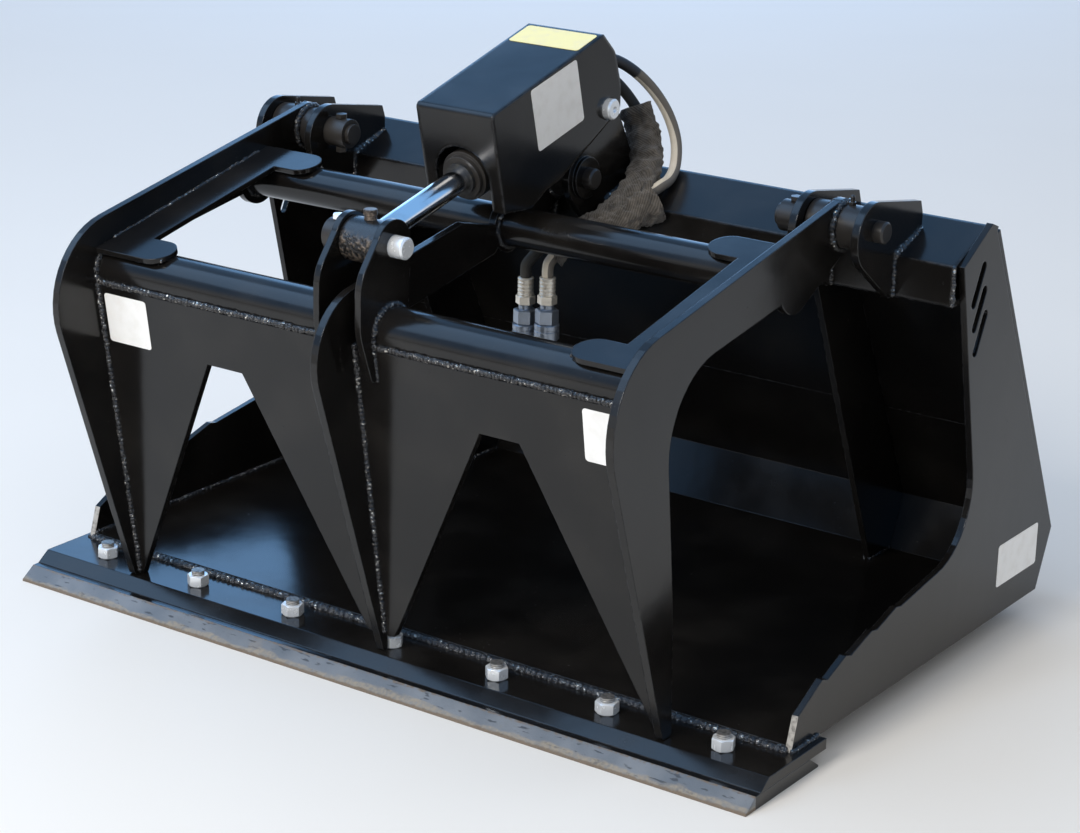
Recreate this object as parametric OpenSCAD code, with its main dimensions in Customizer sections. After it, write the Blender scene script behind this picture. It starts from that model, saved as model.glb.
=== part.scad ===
// Grapple bucket for a small loader: an open bucket shell with a bolt-on cutting edge,
// a three-tine grapple hinged on its top beam, and one guarded hydraulic cylinder.
// X runs across the bucket, the cutting edge faces -Y, +Z is up. Millimetres.

/* [Cutting edge] */
// Width of the bolt-on edge, the widest piece of the bucket
edge_w = 1066.8; // [960:0.1:1200]
// Front to back size of the bolt-on edge
edge_d = 152.4; // [140:0.1:165]
// Thickness of the bolt-on edge
edge_t = 15.9; // [12:0.1:20]
// Length of the bevel at both long sides of the bolt-on edge
edge_bevel = 19.5; // [12:0.5:26]
// Thickness left at the tip of a bevel
edge_land = 2.3; // [1.5:0.1:4]
// Thickness of the welded base edge under the floor
base_t = 12.7; // [9:0.1:16]
// Where the base edge begins, behind the tip of the bolt-on edge
base_front = 28; // [20:1:34]
// Front to back size of the base edge
base_d = 140; // [130:1:160]
// Bevel length on the front of the base edge
base_bevel = 17.6; // [10:0.1:22]
// Diameter of the edge bolts
bolt_d = 15.9; // [12:0.1:18]
// Distance between edge bolts
bolt_pitch = 152.4; // [140:0.1:158]
// Edge bolts on each side of the middle one
bolts_per_side = 3; // [1:1:3]
// Width across flats of the edge nuts
nut_af = 23.8; // [20:0.1:27]
// Height of the edge nuts
nut_h = 13.9; // [10:0.1:16]
// Thread that shows above each nut
thread_out = 5.5; // [3:0.5:10]

/* [Bucket shell] */
// Step from the end of the cutting edge in to the side plate
side_inset = 11; // [6:0.5:16]
// Thickness of the side plates
side_t = 8; // [6:0.1:9]
// Thickness of the floor and back sheet
shell_t = 6.35; // [5:0.05:7]
// Where the floor sheet begins, behind the tip of the bolt-on edge
floor_front = 113; // [100:1:120]
// Where the flat floor ends and the heel bends up
heel_y = 711; // [690:1:725]
// Height that the heel bend climbs
heel_rise = 73.9; // [60:0.1:85]
// Distance that the heel bend runs back
heel_run = 33; // [25:0.5:40]
// Height where the back sheet ends and the upper back plate begins
back_joint_z = 240; // [225:1:255]
// Height of the top of the back
back_top_z = 528.5; // [525:0.5:531]
// How far the back leans forward, for its whole height
back_lean_y = 212; // [206:1:216]
// Thickness of the two ribs inside the bucket
rib_t = 8; // [6:0.1:10]
// Outer faces of the ribs, from the middle
rib_x = 318; // [300:1:330]
// Width of a wear strip under the floor
strip_w = 50; // [30:1:70]
// Length of a wear strip
strip_l = 480; // [400:1:500]
// Distance between wear strips
strip_pitch = 380; // [300:1:400]

/* [Top beam] */
// Front face of the beam
beam_y = 438; // [430:1:440]
// Height of the beam's underside
beam_z = 454.6; // [448:0.1:460]
// Height of the beam's front top edge
beam_front_z = 503; // [500:1:506]
// Height of the beam's top where it meets the back
beam_rear_z = 534; // [532:0.5:536]

/* [Grapple hinges] */
// Distance of the hinge axis behind the tip of the bolt-on edge
hinge_y = 392; // [388:0.5:396]
// Height of the hinge axis
hinge_z = 540; // [536:0.5:544]
// Diameter of the hinge pins and cylinder pins
pin_d = 25.4; // [22:0.1:27]
// Thickness of the hinge ears and cylinder brackets
ear_t = 9.5; // [8:0.1:10.5]
// Inner face of each inner ear, from the middle
ear_in_x = 348.8; // [344:0.1:352]
// Outer face of each outer ear, from the middle
ear_out_x = 439; // [435:0.1:446]
// Radius of an ear's rounded nose
ear_r = 40; // [36:0.5:43]
// Where an ear ends at the rear
ear_rear_y = 499.5; // [494:0.5:505]
// Length of a pin that shows past the outer ear
pin_out = 12.5; // [8:0.5:20]
// Outer diameter of the hinge boss tubes
boss_d = 50.8; // [48:0.1:54]
// Outer diameter of the bushes in the bosses
bush_d = 31.8; // [30:0.1:36]
// Outer diameter of the pin collars
collar_d = 37; // [35:0.5:42]
// Length of the pin collars
collar_l = 30; // [24:1:34]

/* [Grapple] */
// Outer faces of the two outer arms, from the middle
arm_x = 395.6; // [390:0.1:402]
// Thickness of the arms, tine plates and front plates
arm_t = 9.5; // [8:0.1:10]
// Radius of the rounded shoulder of an arm
arm_shoulder_r = 100; // [80:1:104]
// Radius of the rounded shoulder of the centre plate
centre_shoulder_r = 80; // [60:1:84]
// Front cross tube: distance behind the cutting edge tip
front_tube_y = 30; // [28:0.5:32]
// Front cross tube: height
front_tube_z = 430; // [428:0.5:432]
// Front cross tube: outer diameter
front_tube_d = 60.3; // [56:0.1:62]
// Rear cross tube: distance behind the cutting edge tip
rear_tube_y = 293; // [289:0.5:297]
// Rear cross tube: height
rear_tube_z = 494; // [491:0.5:497]
// Rear cross tube: outer diameter
rear_tube_d = 48.3; // [44:0.1:52]
// Wall of both cross tubes
tube_wall = 5; // [3:0.1:7]
// Half width of the top of each opening in the front plates
vee_top = 26.75; // [20:0.25:32]
// Middle of each opening in the front plates, from the middle of the bucket
vee_mid = 197.25; // [190:0.25:204]
// Height of the top of the openings in the front plates
vee_z = 345; // [325:1:360]
// Outer faces of the two clevis lugs, from the middle
lug_x = 33.4; // [32.6:0.1:35]
// Thickness of the clevis lugs
lug_t = 8; // [6:0.1:8.5]
// Clevis pin: distance behind the cutting edge tip
clevis_y = 35; // [33:0.5:37]
// Clevis pin: height
clevis_z = 527; // [525:0.5:530]
// Width of the gusset strips along the arms
gusset_w = 50; // [40:1:60]
// Width of the wide ends of the gusset strips
gusset_end_w = 100; // [80:1:120]
// Thickness of the gusset strips
gusset_t = 6.35; // [5:0.05:8]

/* [Cylinder] */
// Cylinder base pin: distance behind the cutting edge tip
base_y = 419; // [416:0.5:422]
// Cylinder base pin: height
base_z = 621; // [619:0.5:625]
// Outer diameter of the barrel
barrel_d = 60.3; // [58:0.1:62]
// Bore of the barrel
barrel_bore = 50.8; // [48:0.1:52]
// Diameter of the chromed rod
rod_d = 28.6; // [25:0.1:32]
// Distance from the base pin to the front face of the gland
gland_reach = 224; // [218:1:228]
// Length of the gland
gland_l = 32; // [26:1:38]
// Air between the piston and the gland, grapple shut
piston_gap = 8; // [4:0.5:14]
// Length of the piston
piston_l = 24; // [18:1:28]
// Outer diameter of the eye bosses at both ends
eye_d = 50.8; // [50:0.1:54]
// Width of the rod's eye boss
rod_eye_w = 49; // [44:0.5:50]
// Inner faces of the two cylinder brackets, from the middle
bracket_in_x = 32; // [31.6:0.1:33]
// Play round the clevis pin in the rod's eye
eye_play = 7.6; // [7.4:0.1:8]

/* [Cylinder guard] */
// Outer width of the guard
guard_w = 108.6; // [107:0.1:116]
// Thickness of the guard's sheet
guard_t = 4.8; // [3:0.1:6]
// Height of the guard's front top edge
guard_front_z = 650.5; // [647:0.5:655]
// Height of the guard's rear top edge
guard_rear_z = 712; // [706:0.5:718]
// Radius of the opening round the gland
guard_slot_r = 38; // [35:0.5:42]

/* [Loader attachment] */
// Width of the attachment plate
attach_w = 524; // [480:1:560]
// Height of the attachment plate along the back
attach_h = 235; // [220:1:250]
// Thickness of the attachment plate and its lips
attach_t = 8; // [6:0.5:10]
// Distance up the back from the heel bend to the attachment plate
attach_up = 25; // [18:1:34]
// How far the lower lip stands out
lip_out = 62; // [55:1:70]
// Diameter of the two lock-pin holes in the lower lip
lock_d = 28; // [22:1:32]
// Distance between the two lock-pin holes
lock_pitch = 390; // [340:1:420]

/* [Hoses] */
// Outer diameter of the hoses
hose_d = 14; // [12:0.5:14]

/* [Clearances] */
// Radial running clearance of every pin in its bore
run_gap = 0.05; // [0.02:0.01:0.1]
// Side clearance between a boss and the ears it turns between
side_gap = 0.8; // [0.4:0.1:1]
// Clearance round a bolt in its hole
bolt_gap = 0.4; // [0.2:0.1:0.8]
// Air between the tine tips and the base edge
tip_gap = 0.5; // [0.3:0.1:2]

/* [Hidden] */
$fn = 48;

paint = [0.05, 0.05, 0.06];
steel = [0.30, 0.29, 0.28];
zinc = [0.78, 0.77, 0.72];
chrome = [0.85, 0.86, 0.88];

// Heights that follow from the stack of edge plates
floor_z = edge_t + base_t;
floor_top = floor_z + shell_t;
tip_z = floor_z + tip_gap;
side_x = edge_w / 2 - side_inset;
side_in = side_x - side_t;
pin_r = pin_d / 2;
bolt_y = edge_d / 2;

// Small vector helpers
function unit(v) = v / norm(v);
function turn_left(v) = [-v[1], v[0]];

// Outline points from corners [y, z, radius]: each round corner becomes an arc
function corner_arc(a, b, c) =
    let (here = [b[0], b[1]], r = b[2])
    r == 0 ? [here] :
    let (u = unit([a[0], a[1]] - here), v = unit([c[0], c[1]] - here),
        half = acos(u * v) / 2,
        middle = here + unit(u + v) * r / sin(half),
        from = here + u * r / tan(half) - middle,
        to = here + v * r / tan(half) - middle,
        start = atan2(from[1], from[0]),
        turn = atan2(from[0] * to[1] - from[1] * to[0], from * to),
        steps = max(2, ceil(abs(turn) / 8)))
    [for (k = [0:steps]) middle + r * [cos(start + turn * k / steps), sin(start + turn * k / steps)]];
function rounded(corners) =
    let (n = len(corners))
    [for (i = [0:n - 1]) each corner_arc(corners[(i + n - 1) % n], corners[i], corners[(i + 1) % n])];

// A sheet of even thickness on the left of a folded line
function fold_normal(line, i) = turn_left(unit(line[i + 1] - line[i]));
function fold_point(line, i, t) =
    let (a = fold_normal(line, max(i - 1, 0)), b = fold_normal(line, min(i, len(line) - 2)))
    line[i] + t * (a + b) / (1 + a * b);
function sheet(line, t) = concat(line, [for (i = [len(line) - 1:-1:0]) fold_point(line, i, t)]);

// The point at a given height on a line through two points
function at_height(a, b, z) = a + (b - a) * (z - a[1]) / (b[1] - a[1]);

// Outer line of the bucket's bottom and back
heel = [heel_y, floor_z];
heel_top = [heel_y + heel_run, floor_z + heel_rise];
back_top = [heel_top[0] - back_lean_y, back_top_z];
back_dir = unit(back_top - heel_top);
back_lean = atan2(-back_dir[0], back_dir[1]);
back_inward = turn_left(back_dir);
function back_at(z, depth = 0) =
    at_height(heel_top + back_inward * depth, back_top + back_inward * depth, z);
beam_slope = (beam_rear_z - beam_front_z) / (back_at(beam_rear_z, shell_t)[0] - beam_y);
function beam_top_at(y) = [y, beam_front_z + (y - beam_y) * beam_slope];

// Places of the pivots in the side view
hinge = [hinge_y, hinge_z];
clevis = [clevis_y, clevis_z];
base = [base_y, base_z];
rear_tube = [rear_tube_y, rear_tube_z];
front_tube = [front_tube_y, front_tube_z];
cyl_dir = unit(clevis - base);
cyl_up = [cyl_dir[1], -cyl_dir[0]];
cyl_slope = atan2(-cyl_dir[1], -cyl_dir[0]);
cyl_reach = norm(clevis - base);

// Side view outlines of the grapple's plates, as corners [y, z, radius]
arm_outline = [[386, 570.2, 0], [-95.5, 473.9, arm_shoulder_r], [50.5, tip_z, 5], [68, tip_z, 5],
    [60.5, 190, 900], [31, 438.4, 100], [262, 475.3, 0], rear_corner(rear_tube), rear_corner(hinge)];
centre_outline = [[200, 515.6, 0], [-89.3, 465.5, centre_shoulder_r], [54.5, tip_z, 4],
    [62, tip_z, 3], [60.5, 190, 900], [31, 424, 60], [262, 466, 0], rear_corner(rear_tube)];
function rear_corner(p) = [p[0], p[1], 0];
front_line = [[2, 405], [59.8, tip_z]];
front_plate_top = front_tube_z - 15;
// The front plates end above the nut and bolt behind the centre tine's tip
front_foot_z = floor_z + nut_h + thread_out + 2;

// The bucket's front reach and rear reach set where the origin lies
front_reach = min([for (p = rounded(arm_outline)) p[0]]);
lip_root = heel_top + back_dir * attach_up;
back_out = -back_inward;
rear_reach = (lip_root + back_out * (attach_t + lip_out))[0];
centre_y = (front_reach + rear_reach) / 2;

// Hose routes, from the port elbows round to the quick couplers
port_s = [60, 180];
port_x = [16, -16];
port_rise = 48;
elbow_l = 30;
hose_seat = 0.3;
function port_end(i) =
    let (p = base + cyl_dir * (port_s[i] - elbow_l) + cyl_up * port_rise - cyl_dir * hose_seat)
    [port_x[i], p[0], p[1]];
route_right = concat([port_end(0)], [[16, 410, 668], [17, 442, 673], [24, 474, 668], [36, 502, 651],
    [51, 523, 626], [66, 534, 597], [80, 532, 567], [92, 514, 542], [102, 486, 530], [106, 456, 526],
    [99, 428, 516], [85, 400, 500], [64, 375, 481], [41, 358, 464], [27, 346, 444], [25, 343, 434],
    [25, 343, 424]]);
route_left = concat([port_end(1)], [[-16, 292, 640], [-16, 326, 648], [-16, 360, 656], [-16, 394, 663],
    [-15, 428, 666], [-8, 462, 661], [4, 490, 645], [20, 510, 620], [38, 518, 591], [55, 513, 563],
    [70, 495, 542], [80, 466, 531], [78, 436, 521], [67, 408, 503], [48, 384, 482], [22, 372, 468],
    [2, 358, 450], [-10, 351, 434], [-12, 350, 426], [-12, 350, 416]]);
hose_end_right = route_right[len(route_right) - 1];
hose_end_left = route_left[len(route_left) - 1];

// The loose sleeve: its middle line and its half height and half width along it
sleeve_line = [[40, 517, 588], [55, 513, 564], [70, 495, 543], [88, 470, 532], [92, 446, 525],
    [88, 420, 513], [75, 398, 498], [58, 378, 480], [35, 365, 467], [22, 357, 456]];
sleeve_size = [[14, 15], [15, 17], [13, 20], [11, 25], [11, 25], [12, 24], [12, 23], [13, 22], [13, 24], [13, 24]];

// Puts the model's origin in the middle of its base
module placed() translate([0, -centre_y, 0]) children();
// Stands a side view (y, z) up as a plate from x0, t thick
module plate(x0, t) translate([x0, 0, 0]) rotate([90, 0, 90]) linear_extrude(t) children();
// The same plate on both sides of the middle
module both_sides(x0, t) for (x = [x0, -x0 - t]) plate(x, t) children();
// A round bar or tube across the bucket
module bar(p, r, x0, x1) translate([x0, p[0], p[1]]) rotate([0, 90, 0]) cylinder(r = r, h = x1 - x0);
module pipe(p, r, hole_r, x0, x1) difference() {
    bar(p, r, x0, x1);
    bar(p, hole_r, x0 - 1, x1 + 1);
}
// Along the cylinder's axis, from the base pin, with +Z towards the clevis
module on_cylinder(s) translate([0, base_y, base_z]) rotate([90 + cyl_slope, 0, 0]) translate([0, 0, s]) children();
// On the back of the bucket, +Z up along the plate and +Y out of it
module on_back() translate([0, lip_root[0], lip_root[1]]) rotate([back_lean, 0, 0]) children();
module dot(p, r) translate(p) circle(r);

// A closed tube through points, with one ring of sides at each point
function ring_dir(line, i) = unit(line[min(i + 1, len(line) - 1)] - line[max(i - 1, 0)]);
function ring(line, i, size, sides) =
    let (t = ring_dir(line, i), u = unit(cross([1, 0, 0], t)), v = cross(t, u))
    [for (k = [0:sides - 1]) line[i] + size[0] * u * cos(360 * k / sides) + size[1] * v * sin(360 * k / sides)];
module soft_tube(line, sizes, sides = 10) {
    rings = len(line);
    points = [for (i = [0:rings - 1]) each ring(line, i, sizes[i], sides)];
    walls = [for (i = [0:rings - 2], k = [0:sides - 1])
        let (a = i * sides + k, b = i * sides + (k + 1) % sides)
        [a, a + sides, b + sides, b]];
    start_cap = [for (k = [0:sides - 1]) k];
    end_cap = [for (k = [sides - 1:-1:0]) (rings - 1) * sides + k];
    polyhedron(points, concat(walls, [start_cap, end_cap]));
}
module hose(line) soft_tube(line, [for (p = line) [hose_d / 2, hose_d / 2]]);

// Cutting edge and base edge

module bolt_row() for (i = [-bolts_per_side:bolts_per_side]) translate([i * bolt_pitch, bolt_y, 0]) children();
// The tapered head of an edge bolt lies flush in the underside
bolt_head_r = bolt_d * 0.88;
bolt_head_h = 9;
module bolt_head() translate([0, 0, -0.001]) cylinder(r1 = bolt_head_r, r2 = bolt_d / 2 + bolt_gap, h = bolt_head_h);

module cutting_edge() color(steel) placed() difference() {
    plate(-edge_w / 2, edge_w) polygon([[0, 0], [edge_d, 0], [edge_d, edge_land], [edge_d - edge_bevel, edge_t],
        [edge_bevel, edge_t], [0, edge_land]]);
    bolt_row() {
        translate([0, 0, -1]) cylinder(d = bolt_d + 2 * bolt_gap, h = edge_t + 2);
        bolt_head();
    }
}

module edge_bolts() color(zinc) placed() bolt_row() {
    cylinder(d = bolt_d, h = floor_z + nut_h + thread_out);
    cylinder(r1 = bolt_head_r, r2 = bolt_d / 2 + bolt_gap, h = bolt_head_h);
}

module edge_nuts() color(zinc) placed() bolt_row() translate([0, 0, floor_z]) difference() {
    cylinder(d = nut_af / cos(30), h = nut_h, $fn = 6);
    translate([0, 0, -1]) cylinder(d = bolt_d + 2 * run_gap, h = nut_h + 2);
}

module base_edge() color(paint) placed() difference() {
    plate(-edge_w / 2, edge_w) polygon([[base_front, edge_t], [base_front + base_d, edge_t],
        [base_front + base_d, floor_z], [base_front + base_bevel, floor_z]]);
    bolt_row() cylinder(d = bolt_d + 2 * bolt_gap, h = floor_z + 1);
}

module wear_strips() color(paint) placed() for (i = [-1:1])
    translate([i * strip_pitch - strip_w / 2, heel_y - strip_l - 20, 0]) cube([strip_w, strip_l, floor_z]);

// Bucket shell

module floor_and_back() color(paint) placed() plate(-side_in, 2 * side_in)
    polygon(sheet([[floor_front, floor_z], heel, heel_top, back_at(back_joint_z)], shell_t));

module upper_back_plate() color(paint) placed() plate(-side_x, 2 * side_x)
    polygon([back_at(back_joint_z), back_at(back_top_z), fold_point([back_at(back_joint_z), back_top], 1, shell_t),
        fold_point([back_at(back_joint_z), back_top], 0, shell_t)]);

// Steps cut along the low front edge of each side plate
step_points = [[110, floor_z], [122, 68], [171, 94], [182.8, 90], [222, 105], [234, 101.4], [280, 115.4],
    [292, 113], [335.6, 126], [347, 123.8]];
side_top = [447, 501];
slot_w = 12;
slot_step = [-6, 30];
slot_low = [489, 392];
slot_high = [509, 432];

module side_profile() difference() {
    polygon(concat(step_points,
        corner_arc([347, 123.8], [529, 151, 86], side_top),
        [side_top, [512, 539], [527, 533], back_at(back_top_z, shell_t), fold_point([back_at(back_joint_z), back_top], 0, shell_t),
        back_at(back_joint_z), heel_top, heel]));
    for (i = [0:2]) {
        low = slot_low + slot_step * i;
        high = slot_high + slot_step * i;
        across = turn_left(unit(high - low)) * slot_w / 2;
        dot(low, slot_w / 2);
        dot(high, slot_w / 2);
        polygon([low + across, low - across, high - across, high + across]);
    }
}
module side_plate_left() color(paint) placed() plate(-side_x, side_t) side_profile();
module side_plate_right() color(paint) placed() plate(side_in, side_t) side_profile();

// Everything behind the inner face of the back, to trim what butts against it
module behind_back() polygon([back_at(0, shell_t), back_at(700, shell_t), [900, 700], [900, 0]]);

module cross_beam() color(paint) placed() plate(-side_in, 2 * side_in) difference() {
    polygon(sheet([beam_top_at(beam_y + 120), [beam_y, beam_front_z], [beam_y, beam_z], [beam_y + 150, beam_z]], shell_t));
    behind_back();
}

rib_top_front = [472.2, beam_z];
rib_foot_front = [655, floor_top];
module rib_profile() polygon([rib_top_front, rib_foot_front, fold_point([[0, floor_z], heel, heel_top], 1, shell_t),
    fold_point([heel, heel_top, back_top], 1, shell_t), back_at(beam_z, shell_t)]);
module rib_left() color(paint) placed() plate(-rib_x, rib_t) rib_profile();
module rib_right() color(paint) placed() plate(rib_x - rib_t, rib_t) rib_profile();

// Hinge ears and cylinder brackets

ear_nose = [hinge_y - 4, hinge_z - 6];
ear_toe = beam_y - 10.3;
ear_top_rear = [ear_rear_y - 5.5, hinge_z + 16];
// Where a line from point p meets a circle almost as a tangent, on the chosen side
graze = 0.02;
function touch(c, r, p, side) =
    let (d = p - c, a = atan2(d[1], d[0]) + side * acos((r - graze) / norm(d))) c + (r - graze) * [cos(a), sin(a)];
seat_points = [[ear_toe, beam_z], [beam_y, beam_z], [beam_y, beam_front_z], beam_top_at(ear_rear_y)];

module ear_profile() difference() {
    union() {
        dot(ear_nose, ear_r);
        polygon(concat([ear_nose, touch(ear_nose, ear_r, seat_points[0], -1)], seat_points,
            [[ear_rear_y, hinge_z + 1], ear_top_rear, touch(ear_nose, ear_r, ear_top_rear, 1)]));
    }
    dot(hinge, pin_r + run_gap);
}
module ear_pair(side) placed() for (x = [ear_in_x, ear_out_x - ear_t])
    plate(side > 0 ? x : -x - ear_t, ear_t) ear_profile();
module hinge_ears_left() color(paint) ear_pair(-1);
module hinge_ears_right() color(paint) ear_pair(1);

bracket_x = bracket_in_x + ear_t;
bracket_r = 31;
bracket_ring_l = 5;
module link(a, ra, b, rb) {
    dot(a, ra);
    dot(b, rb);
    d = b - a;
    swing = acos((ra - rb) / norm(d));
    aim = atan2(d[1], d[0]);
    left = [cos(aim + swing), sin(aim + swing)];
    right = [cos(aim - swing), sin(aim - swing)];
    polygon([a + (ra - graze) * left, a + (ra - graze) * right, b + (rb - graze) * right, b + (rb - graze) * left]);
}
module bracket_profile() difference() {
    union() {
        link(hinge, bracket_r + 3, base, bracket_r);
        bracket_rear = [ear_rear_y, hinge_z + 1];
        polygon(concat([hinge, touch(hinge, bracket_r + 3, seat_points[0], -1)], seat_points,
            [bracket_rear, touch(base, bracket_r, bracket_rear, 1), base]));
    }
    dot(hinge, pin_r + run_gap);
    dot(base, pin_r + run_gap);
}
module cylinder_brackets() color(paint) placed() {
    both_sides(bracket_in_x, ear_t) bracket_profile();
    for (x = [bracket_x, -bracket_x - bracket_ring_l])
        pipe(hinge, boss_d / 2, pin_r + run_gap, x, x + bracket_ring_l);
}

// Loader attachment on the back

hook_root = 10;
hook_out = 32;
module attach_plate() color(paint) placed() on_back() translate([-attach_w / 2, 0, attach_t])
    cube([attach_w, attach_t, attach_h - hook_root - attach_t]);
// The hook is a bar along the top whose edge slopes down and out at 45 degrees
module attach_hook() color(paint) placed() on_back() plate(-attach_w / 2, attach_w) {
    slant = attach_t / sqrt(2);
    drop = hook_out - slant;
    polygon([[0, attach_h - hook_root], [0, attach_h], [attach_t + slant, attach_h],
        [attach_t + hook_out, attach_h - drop], [attach_t + drop, attach_h - drop - slant],
        [attach_t + hook_root - slant, attach_h - hook_root]]);
}
module attach_lip() color(paint) placed() on_back() difference() {
    translate([-attach_w / 2, 0, 0]) cube([attach_w, attach_t + lip_out, attach_t]);
    for (x = [-lock_pitch / 2, lock_pitch / 2])
        translate([x, attach_t + lip_out * 0.55, -1]) cylinder(d = lock_d, h = attach_t + 2);
}

// Pins and collars

chamfer = 2;
// A pin with a chamfered end on the right and a cross hole at collar_mid
module pin(p, x0, x1) {
    bar(p, pin_r, x0, x1 - chamfer);
    translate([x1 - chamfer, p[0], p[1]]) rotate([0, 90, 0]) cylinder(r1 = pin_r, r2 = pin_r - chamfer, h = chamfer);
}
cross_bolt_r = 4;
collar_mid = ear_in_x - collar_l / 2;
pin_inner_x = ear_in_x - collar_l - 6;
module cross_hole(p, x) translate([x, p[0], p[1] - 40]) cylinder(r = cross_bolt_r + run_gap, h = 80);
module side_pin() difference() {
    pin(hinge, pin_inner_x, ear_out_x + pin_out);
    cross_hole(hinge, collar_mid);
}
module hinge_pin_left() color(steel) placed() mirror([1, 0, 0]) side_pin();
module hinge_pin_right() color(steel) placed() side_pin();

centre_pin_out = 12;
module hinge_pin_centre() color(paint) placed() {
    reach = bracket_x + bracket_ring_l + centre_pin_out;
    pin(hinge, -reach, reach);
}
base_pin_x = guard_w / 2 + 9.7;
module cylinder_base_pin() color(zinc) placed() difference() {
    pin(base, -base_pin_x, base_pin_x);
    translate([base_pin_x - 3, base_y, base_z]) rotate([0, 90, 0]) cylinder(r1 = 1.5, r2 = 4, h = 3.1);
}

module collar(p, x0) difference() {
    pipe(p, collar_d / 2, pin_r + run_gap, x0, x0 + collar_l);
    cross_hole(p, x0 + collar_l / 2);
}
module pin_collars() color(paint) placed() {
    collar(hinge, ear_in_x - collar_l);
    mirror([1, 0, 0]) collar(hinge, ear_in_x - collar_l);
}
bolt_head_af = 13;
module cross_bolt(p, x) translate([x, p[0], p[1]]) {
    translate([0, 0, -collar_d / 2 - 7]) cylinder(r = cross_bolt_r, h = collar_d + 7);
    translate([0, 0, collar_d / 2]) cylinder(d = bolt_head_af / cos(30), h = 5.5, $fn = 6);
    translate([0, 0, -collar_d / 2 - 6.5]) cylinder(d = bolt_head_af / cos(30), h = 6.5, $fn = 6);
}
module collar_bolts() color(zinc) placed() for (x = [collar_mid, -collar_mid]) cross_bolt(hinge, x);

// Grapple plates and tubes

arm_nose_r = 31;
arm_lobe_r = 36;
module arm_profile() difference() {
    union() {
        polygon(rounded(arm_outline));
        link(rear_tube, arm_lobe_r, hinge, arm_nose_r);
    }
    dot(hinge, boss_d / 2);
}
module arm_left() color(paint) placed() plate(-arm_x, arm_t) arm_profile();
module arm_right() color(paint) placed() plate(arm_x - arm_t, arm_t) arm_profile();
arm_in = arm_x - arm_t;

module centre_profile() difference() {
    union() {
        polygon(rounded(centre_outline));
        link(rear_tube, arm_lobe_r - 4, hinge, arm_nose_r - 2);
    }
    dot(hinge, boss_d / 2);
}
module centre_tine_plate() color(paint) placed() plate(-arm_t / 2, arm_t) centre_profile();

// Side view of the sloping front plates, cut to sit under the front tube
front_normal = turn_left(unit(front_line[1] - front_line[0]));
module front_section() difference() {
    polygon([at_height(front_line[0], front_line[1], front_plate_top), front_line[1],
        [front_line[1][0] + arm_t / front_normal[0], tip_z],
        at_height(front_line[0], front_line[1], front_plate_top) + [arm_t / front_normal[0], 0]]);
    dot(front_tube, front_tube_d / 2);
}
// Front view of one opening between two tines, narrow at the top
module vee() polygon([[vee_mid - vee_top, vee_z], [vee_mid + vee_top, vee_z], [arm_in - 4, tip_z],
    [arm_in - 4, tip_z - 40], [0, tip_z - 40], [0, front_foot_z], [arm_t / 2 + 14, front_foot_z],
    [arm_t / 2 + 26, front_foot_z + 22]]);
module front_plate(x0) difference() {
    plate(x0, arm_in - arm_t / 2) front_section();
    for (m = [0, 1]) mirror([m, 0, 0]) translate([0, 200, 0]) rotate([90, 0, 0]) linear_extrude(400) vee();
}
module front_plate_left() color(paint) placed() front_plate(-arm_in);
module front_plate_right() color(paint) placed() front_plate(arm_t / 2);

module front_tube_right() color(paint) placed()
    pipe(front_tube, front_tube_d / 2, front_tube_d / 2 - tube_wall, lug_x, arm_in);
module front_tube_left() color(paint) placed()
    pipe(front_tube, front_tube_d / 2, front_tube_d / 2 - tube_wall, -arm_in, -lug_x);
module rear_tube_right() color(paint) placed()
    pipe(rear_tube, rear_tube_d / 2, rear_tube_d / 2 - tube_wall, arm_t / 2, arm_in);
module rear_tube_left() color(paint) placed()
    pipe(rear_tube, rear_tube_d / 2, rear_tube_d / 2 - tube_wall, -arm_in, -arm_t / 2);

// Clevis lugs at the front, standing on the front tube and front plates
lug_r = 30;
lug_foot_z = 378;
lug_root = at_height(front_line[0], front_line[1], front_plate_top);
lug_foot = at_height(front_line[0], front_line[1], lug_foot_z);
lug_outline = [[clevis_y + 6, clevis_z - 10, 0], [12, 545, 0], [-24, 498, 50], [-24, 436, 60],
    [-3, lug_foot_z, 6], [lug_foot[0], lug_foot[1], 0], [lug_root[0], lug_root[1], 0],
    [front_tube_y, front_tube_z - 20, 0]];
module lug_profile() difference() {
    union() {
        polygon(rounded(lug_outline));
        link(clevis, lug_r, front_tube, front_tube_d / 2);
    }
    dot(clevis, pin_r + run_gap);
}
module lug_left() color(paint) placed() plate(-lug_x, lug_t) lug_profile();
module lug_right() color(paint) placed() plate(lug_x - lug_t, lug_t) lug_profile();

// Gusset strips lie on both tubes, along the inside of the arms
gusset_span = norm(rear_tube - front_tube);
gusset_rise = atan2(rear_tube_z - front_tube_z, rear_tube_y - front_tube_y)
    - asin((front_tube_d - rear_tube_d) / 2 / gusset_span);
gusset_end = 24;
module gusset_plan() {
    square([gusset_w, gusset_span]);
    for (s = [0, gusset_span]) {
        translate([0, s - gusset_end]) square([gusset_end_w - gusset_end, 2 * gusset_end]);
        dot([gusset_end_w - gusset_end, s], gusset_end);
    }
}
module gusset() translate([arm_in, front_tube_y, front_tube_z]) rotate([gusset_rise, 0, 0])
    translate([0, 0, front_tube_d / 2]) mirror([1, 0, 0]) linear_extrude(gusset_t) gusset_plan();
module gusset_left() color(paint) placed() mirror([1, 0, 0]) gusset();
module gusset_right() color(paint) placed() gusset();

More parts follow.
